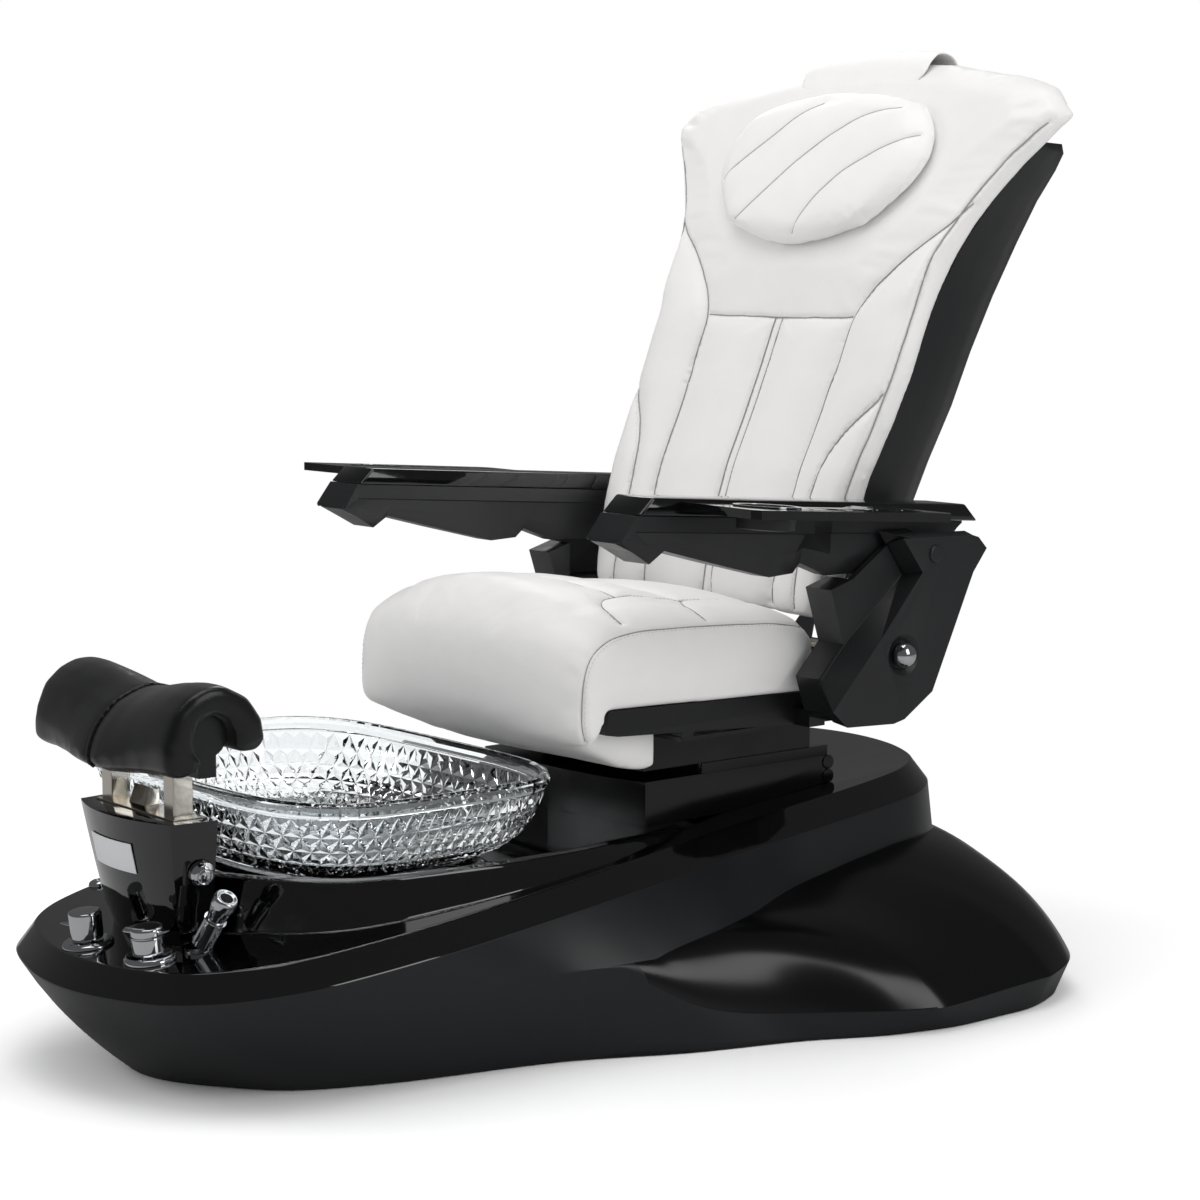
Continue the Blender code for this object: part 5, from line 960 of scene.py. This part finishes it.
def make_back():
    bolster = back_path([(0.142, 0.552), (0.146, 0.62), (0.150, 0.70), (0.154, 0.80), (0.157, 0.90), (0.158, 0.968),
            (0.166, 0.990), (0.185, 1.015), (0.214, 1.045), (0.250, 1.078), (0.290, 1.106), (0.330, 1.134)])
    arc = back_path([(0.286, 0.868), (0.262, 0.846), (0.234, 0.815), (0.213, 0.780), (0.203, 0.745), (0.201, 0.70),
            (0.203, 0.62), (0.206, 0.555)])
    shoulder = back_path([(-0.158, 0.976), (0.0, 0.973), (0.158, 0.976)])
    spine = [back_path([(s * 0.0065, 0.552), (s * 0.0065, 0.76), (s * 0.0065, 0.973)]) for s in (-1, 1)]
    edge = np.array([(0.259, 0.312, 0.560), (0.263, 0.333, 0.621), (0.267, 0.347, 0.684), (0.271, 0.367, 0.747),
            (0.278, 0.401, 0.817), (0.283, 0.433, 0.887), (0.285, 0.463, 0.960), (0.287, 0.488, 1.012),
            (0.292, 0.500, 1.059), (0.302, 0.524, 1.103), (0.323, 0.549, 1.146), (0.354, 0.574, 1.194),
            (0.385, 0.595, 1.224), (0.410, 0.614, 1.250)])
    seams = both_sides([bolster, arc]) + [shoulder] + spine + both_sides([edge])
    piece, lines = cushion("back_padding", "back_cushion", "backrest", WHITE, 0.0062, seams, 3.2,
            0.006, 16, (0.0060, 0.012, 0.0036, 0.0034), relax=14)
    bvh = bvh_of(piece.data)
    # Painted shade along the back's seams.
    painted_shade_beads("back_painted_seam_shade", lines, bvh, PAINTED_SEAM_SHADE, "backrest")
    stitches("back_arc_stitches", lines[2:4], bvh, (0.0042,), "backrest")
    stitches("back_spine_stitches", lines[5:7], bvh, (0.0040,), "backrest")
    return piece


SEAT_HALF = 0.27


def seat_path(points):
    """(x, y) points laid over the seat; they fall to the surface when they are sewn."""
    x, y = evenly(points, 60)
    crown = 0.575 + 0.03 * (1 - (x / SEAT_HALF) ** 2) - 0.10 * np.clip(y, 0, 1)
    return np.stack([x, y, crown], -1)


def make_seat():
    welts = []
    for s in (-1, 1):
        welts.append(np.array([(s * 0.262, y, z) for y, z in ((0.285, 0.546), (0.22, 0.5535), (0.14, 0.557),
                (0.06, 0.560), (0.0, 0.560), (-0.04, 0.5585), (-0.075, 0.550), (-0.103, 0.532), (-0.116, 0.505),
                (-0.1205, 0.47), (-0.121, 0.44), (-0.114, 0.412))]))
    inner = seat_path([(0.150, 0.288), (0.150, 0.14), (0.150, 0.035), (0.158, 0.000), (0.180, -0.020),
            (0.215, -0.030), (0.245, -0.034)])
    cross = seat_path([(-0.150, 0.030), (0.0, 0.020), (0.150, 0.030)])
    cross_two = seat_path([(-0.150, 0.145), (0.0, 0.138), (0.150, 0.145)])
    wing = seat_path([(0.150, 0.150), (0.180, 0.130), (0.215, 0.118), (0.250, 0.114)])
    seams = welts + both_sides([inner, wing]) + [cross, cross_two]

    def under(v):
        return np.clip((0.470 - v[:, 2]) / 0.02, 0, 1) * (v[:, 1] > -0.09)

    def fuller(v):
        share = np.abs(v[:, 0]) / SEAT_HALF
        gain = ease(share, 0, 1) ** 1.6 - np.clip(share, 0, 1) ** 5
        v[:, 2] += 0.024 * gain * ease(v[:, 2], 0.46, 0.54)
        v[:, 1] -= 0.016 * gain * ease(-v[:, 1], 0.02, 0.11)
        return v

    piece, lines = cushion("seat_padding", "seat_cushion", "seat", WHITE, 0.0060, seams, 3.0, 0.006,
            16, (0.0034, 0.010, 0.0022, 0.0030), keep=under, relax=8, shape=fuller)
    bvh = bvh_of(piece.data)
    # Painted shade along the seat's seams.
    painted_shade_beads("seat_painted_seam_shade", lines, bvh, PAINTED_SEAM_SHADE, "seat", 0.0008)
    stitches("seat_welt_stitches", [lines[0]], bvh, (0.0044,), "seat")
    stitches("seat_welt_stitches_right", [lines[1]], bvh, (-0.0044,), "seat")
    stitches("seat_top_stitches", lines[2:], bvh, (0.0040,), "seat")
    return piece


def make_pillow():
    def on_pillow(points):
        return back_path(points, 0.062, 50)

    seams = [on_pillow([(-0.025, 1.301), (-0.065, 1.277), (-0.098, 1.247), (-0.153, 1.211), (-0.201, 1.183)]),
            on_pillow([(0.152, 1.289), (0.080, 1.271), (0.024, 1.240), (-0.028, 1.202), (-0.079, 1.154),
            (-0.126, 1.113)]), on_pillow([(0.211, 1.246), (0.146, 1.220), (0.084, 1.187), (0.045, 1.150),
            (0.022, 1.115), (0.014, 1.090)])]
    piece, lines = cushion("pillow_padding", "headrest_pillow", "headrest", PILLOW, 0.0046, seams,
            3.5, 0.006, 16, (0.0024, 0.008, 0.0016, 0.0026), relax=8)
    # Painted shade along the pillow's seams.
    painted_shade_beads("pillow_painted_seam_shade", lines, bvh_of(piece.data), PAINTED_PILLOW_SEAM_SHADE, "headrest", 0.0008)
    return piece


def make_strap():
    mesh = copied("headrest_strap")
    piece = object_of("strap_leather", mesh, PILLOW, "backrest", ("headrest_strap",))
    subdivided(piece, 2)
    return piece


def make_footrest():
    ridge = [np.array([(s * 0.004, -0.628 + r * math.cos(math.radians(a)),
            0.463 + r * math.sin(math.radians(a))) for a, r in ((214, 0.100), (205, 0.100), (190, 0.085),
            (175, 0.073), (147, 0.058), (122, 0.049), (100, 0.048), (79, 0.051), (44, 0.060), (16, 0.069),
            (-4, 0.072))]) for s in (0.0,)]
    piece, lines = cushion("footrest_padding", "footrest_cushion", "footrest", VINYL, 0.0040, ridge,
            0.8, 0.0012, 8, (0.0010, 0.006, 0.0008, 0.0022), relax=12, after=14)
    bvh = bvh_of(piece.data)
    welt("footrest_piping", dense(ridge[0], 0.003), bvh, 0.0026, VINYL, "footrest", 0.35)
    return piece


# ---------------------------------------------------------------- arms, shells, trays

def make_arms():
    for side in ("left", "right"):
        machined("side_shell_" + side, ABS, "seat", 0.0014, 2, angle=12)
        machined("arm_" + side, ABS, "armrest_" + side, 0.0014, 2, angle=12)
        machined("arm_cap_" + side, ACRYLIC, "armrest_" + side, 0.0010, 2)
        machined("tray_" + side, ACRYLIC, "side_tray_" + side, 0.0008, 2)
        s = 1 if side == "left" else -1
        lathe("pivot_button_" + side, [(0, 0.0030), (0.0102, 0.0032), (0.0120, 0.0026), (0.0128, 0.0014),
                (0.0128, 0.0003), (0.0100, 0.0003), (0.0100, -0.0145), (0, -0.0145)], (s * 0.378, 0.430, 0.642),
                (s, 0, 0), "armrest_" + side, ("pivot_cap_" + side,), ABS, 48, 0.0005)
        dome = [(0.0185 * math.cos(math.radians(a)), 0.002 + 0.015 * math.sin(math.radians(a))) for a in range(90, -1,
                -6)]
        dome[0] = (0.0, 0.017)
        lathe("control_ball_" + side, dome + [(0.0165, -0.004), (0.0063, -0.004), (0.0063, -0.032), (0, -0.032)],
              (s * 0.378, 0.3685, 0.503), (s, 0, 0), "control_" + side, ("control_knob_" + side,), soft=0.0004)
        up = unit(np.array([0, math.tan(math.radians(4)), 1]))
        top = 0.7258 - math.tan(math.radians(4)) * (0.045 + 0.102) + 0.020
        r = 0.0394
        cup = (s * 0.4464, 0.045, top)
        lathe("cup_ring_lip_" + side, [(r + 0.006, 0.0018), (r + 0.006, 0.0003), (r, 0.0003), (r, -0.004),
                (r - 0.0016, -0.004), (r - 0.0022, 0.0018)], cup, up, "side_tray_" + side, ("cup_ring_" + side,),
                steps=72, soft=0.0004, ring=True)
        lathe("cup_well_" + side, [(r - 0.0001, -0.0041), (r - 0.0001, -0.0290), (r - 0.014, -0.0310),
                (r - 0.014, -0.0290), (r - 0.0022, -0.0270), (r - 0.0016, -0.0041)], cup, up, "side_tray_" + side, (),
                ABS, 72, 0.0004, True)


def make_back_shell():
    piece = object_of("back_cover", copied("back_shell", angle=40), ABS, "backrest", ("back_shell",))
    return piece


def make_seat_base():
    machined("pedestal", FENDER, "base", 0.0020, 3, angle=35)
    machined("slide_box", BLACK_STEEL, "seat", 0.0012, 2)
    machined("seat_frame", BLACK_STEEL, "seat", 0.0012, 2)
    machined("footrest_bracket", BLACK_STEEL, "footrest", 0.0010, 2)


# ---------------------------------------------------------------- studio

SKY, SKY_IN_GLOSS, FLOOR_GAIN, FLOOR_IN_GLOSS = 0.62, 0.10, 1.25, 0.40
LOOK_DOWN, TURN = 7.07, 51.14


def seen_directly(tree):
    """The light path node, and 1 for camera and transmission rays."""
    path = node(tree, "LightPath")
    return path, node(tree, "Math", {"operation": "MAXIMUM"},
            [(0, path, "Is Camera Ray"), (1, path, "Is Transmission Ray")])


def plain_sky(tree, strength):
    return node(tree, "Background", {"Color": (1, 1, 1, 1), "Strength": strength})


def make_studio():
    """The background is white to camera and transmission rays and dim to glossy ones; the floor keeps its shadow."""
    scene = bpy.context.scene
    floor = grid_mesh("studio_floor", np.stack(np.meshgrid(np.linspace(-7, 7, 3), np.linspace(-7, 7, 3), [-0.0004],
            indexing="ij"), -1).reshape(3, 3, 3))
    mat, tree, shader = surface("white_studio_floor", "#F4F4F4", 0.9, Specular_IOR_Level=0.1)
    path, seen = seen_directly(tree)
    lit = node(tree, "BsdfDiffuse", {"Color": (FLOOR_GAIN, FLOOR_GAIN, FLOOR_GAIN, 1)})
    white = node(tree, "Emission", {"Color": (1, 1, 1, 1), "Strength": 1.0})
    where = node(tree, "TexCoord")
    far = node(tree, "VectorMath", {"operation": "LENGTH"}, [(0, where, "Object")])
    fade = node(tree, "MapRange", {"interpolation_type": "SMOOTHSTEP", "From Min": 0.95, "From Max": 1.9},
            [("Value", far, "Value")])
    near = node(tree, "MixShader", (), [(0, fade, "Result"), (1, lit, "BSDF"), (2, white, "Emission")])
    grey = node(tree, "BsdfDiffuse", {"Color": (FLOOR_IN_GLOSS, FLOOR_IN_GLOSS, FLOOR_IN_GLOSS, 1)})
    other = node(tree, "MixShader", (), [(0, path, "Is Glossy Ray"), (1, shader, "BSDF"), (2, grey, "BSDF")])
    pick = node(tree, "MixShader", (), [(0, seen, "Value"), (1, other, "Shader"), (2, near, "Shader")])
    tree.links.new(pick.outputs["Shader"], tree.nodes["Material Output"].inputs["Surface"])
    ground = bpy.data.objects.new("studio_floor", floor)
    scene.collection.objects.link(ground)
    floor.materials.append(mat)
    if floor.polygons[0].normal.z < 0:
        floor.flip_normals()
    world = bpy.data.worlds.new("studio")
    scene.world = world
    world.use_nodes = True
    tree = world.node_tree
    tree.nodes.clear()
    path, direct = seen_directly(tree)
    sky, seen, dim = plain_sky(tree, SKY), plain_sky(tree, 1.0), plain_sky(tree, SKY_IN_GLOSS)
    other = node(tree, "MixShader", (), [(0, path, "Is Glossy Ray"), (1, sky, "Background"), (2, dim, "Background")])
    pick = node(tree, "MixShader", (), [(0, direct, "Value"), (1, other, "Shader"), (2, seen, "Background")])
    node(tree, "OutputWorld", (), [("Surface", pick, "Shader")])

    def lamp(name, at, aim, size, power, spread=180, height=None):
        light = bpy.data.lights.new(name, "AREA")
        light.shape = "RECTANGLE"
        light.size, light.size_y = size, height or size
        light.energy = power
        light.spread = math.radians(spread)
        obj = bpy.data.objects.new(name, light)
        scene.collection.objects.link(obj)
        obj.location = at
        obj.rotation_euler = (Vector(aim) - Vector(at)).to_track_quat("-Z", "Y").to_euler()
        return obj

    lamp("overhead_softbox", (0.2, -0.4, 3.6), (0, 0, 0.4), 2.6, 34)
    left = lamp("left_softbox", (-2.6, -2.6, 2.2), (0, 0, 0.6), 1.6, 26)
    left.visible_glossy = False
    lamp("rear_softbox", (-2.3, 1.9, 2.7), (0, 0, 0.6), 1.3, 16)
    lamp("right_softbox", (3.2, 0.8, 1.9), (0, 0.1, 0.5), 1.2, 20, height=2.0)
    camera = bpy.data.cameras.new("camera")
    camera.lens = 84.2
    camera.sensor_width = 36
    camera.clip_end = 60
    view = bpy.data.objects.new("camera", camera)
    scene.collection.objects.link(view)
    view.location = (3.155, -2.418, 1.066)
    view.rotation_euler = (math.radians(90 - LOOK_DOWN), 0, math.radians(TURN))
    scene.camera = view
    scene.view_settings.view_transform = "Standard"


make_studio()
dress_nodes()
make_base()
make_bowl()
make_drain()
make_taps()
make_sprayer()
make_diverter()
make_tower()
make_seat_base()
make_arms()
make_back_shell()
make_back()
make_seat()
make_pillow()
make_strap()
make_footrest()
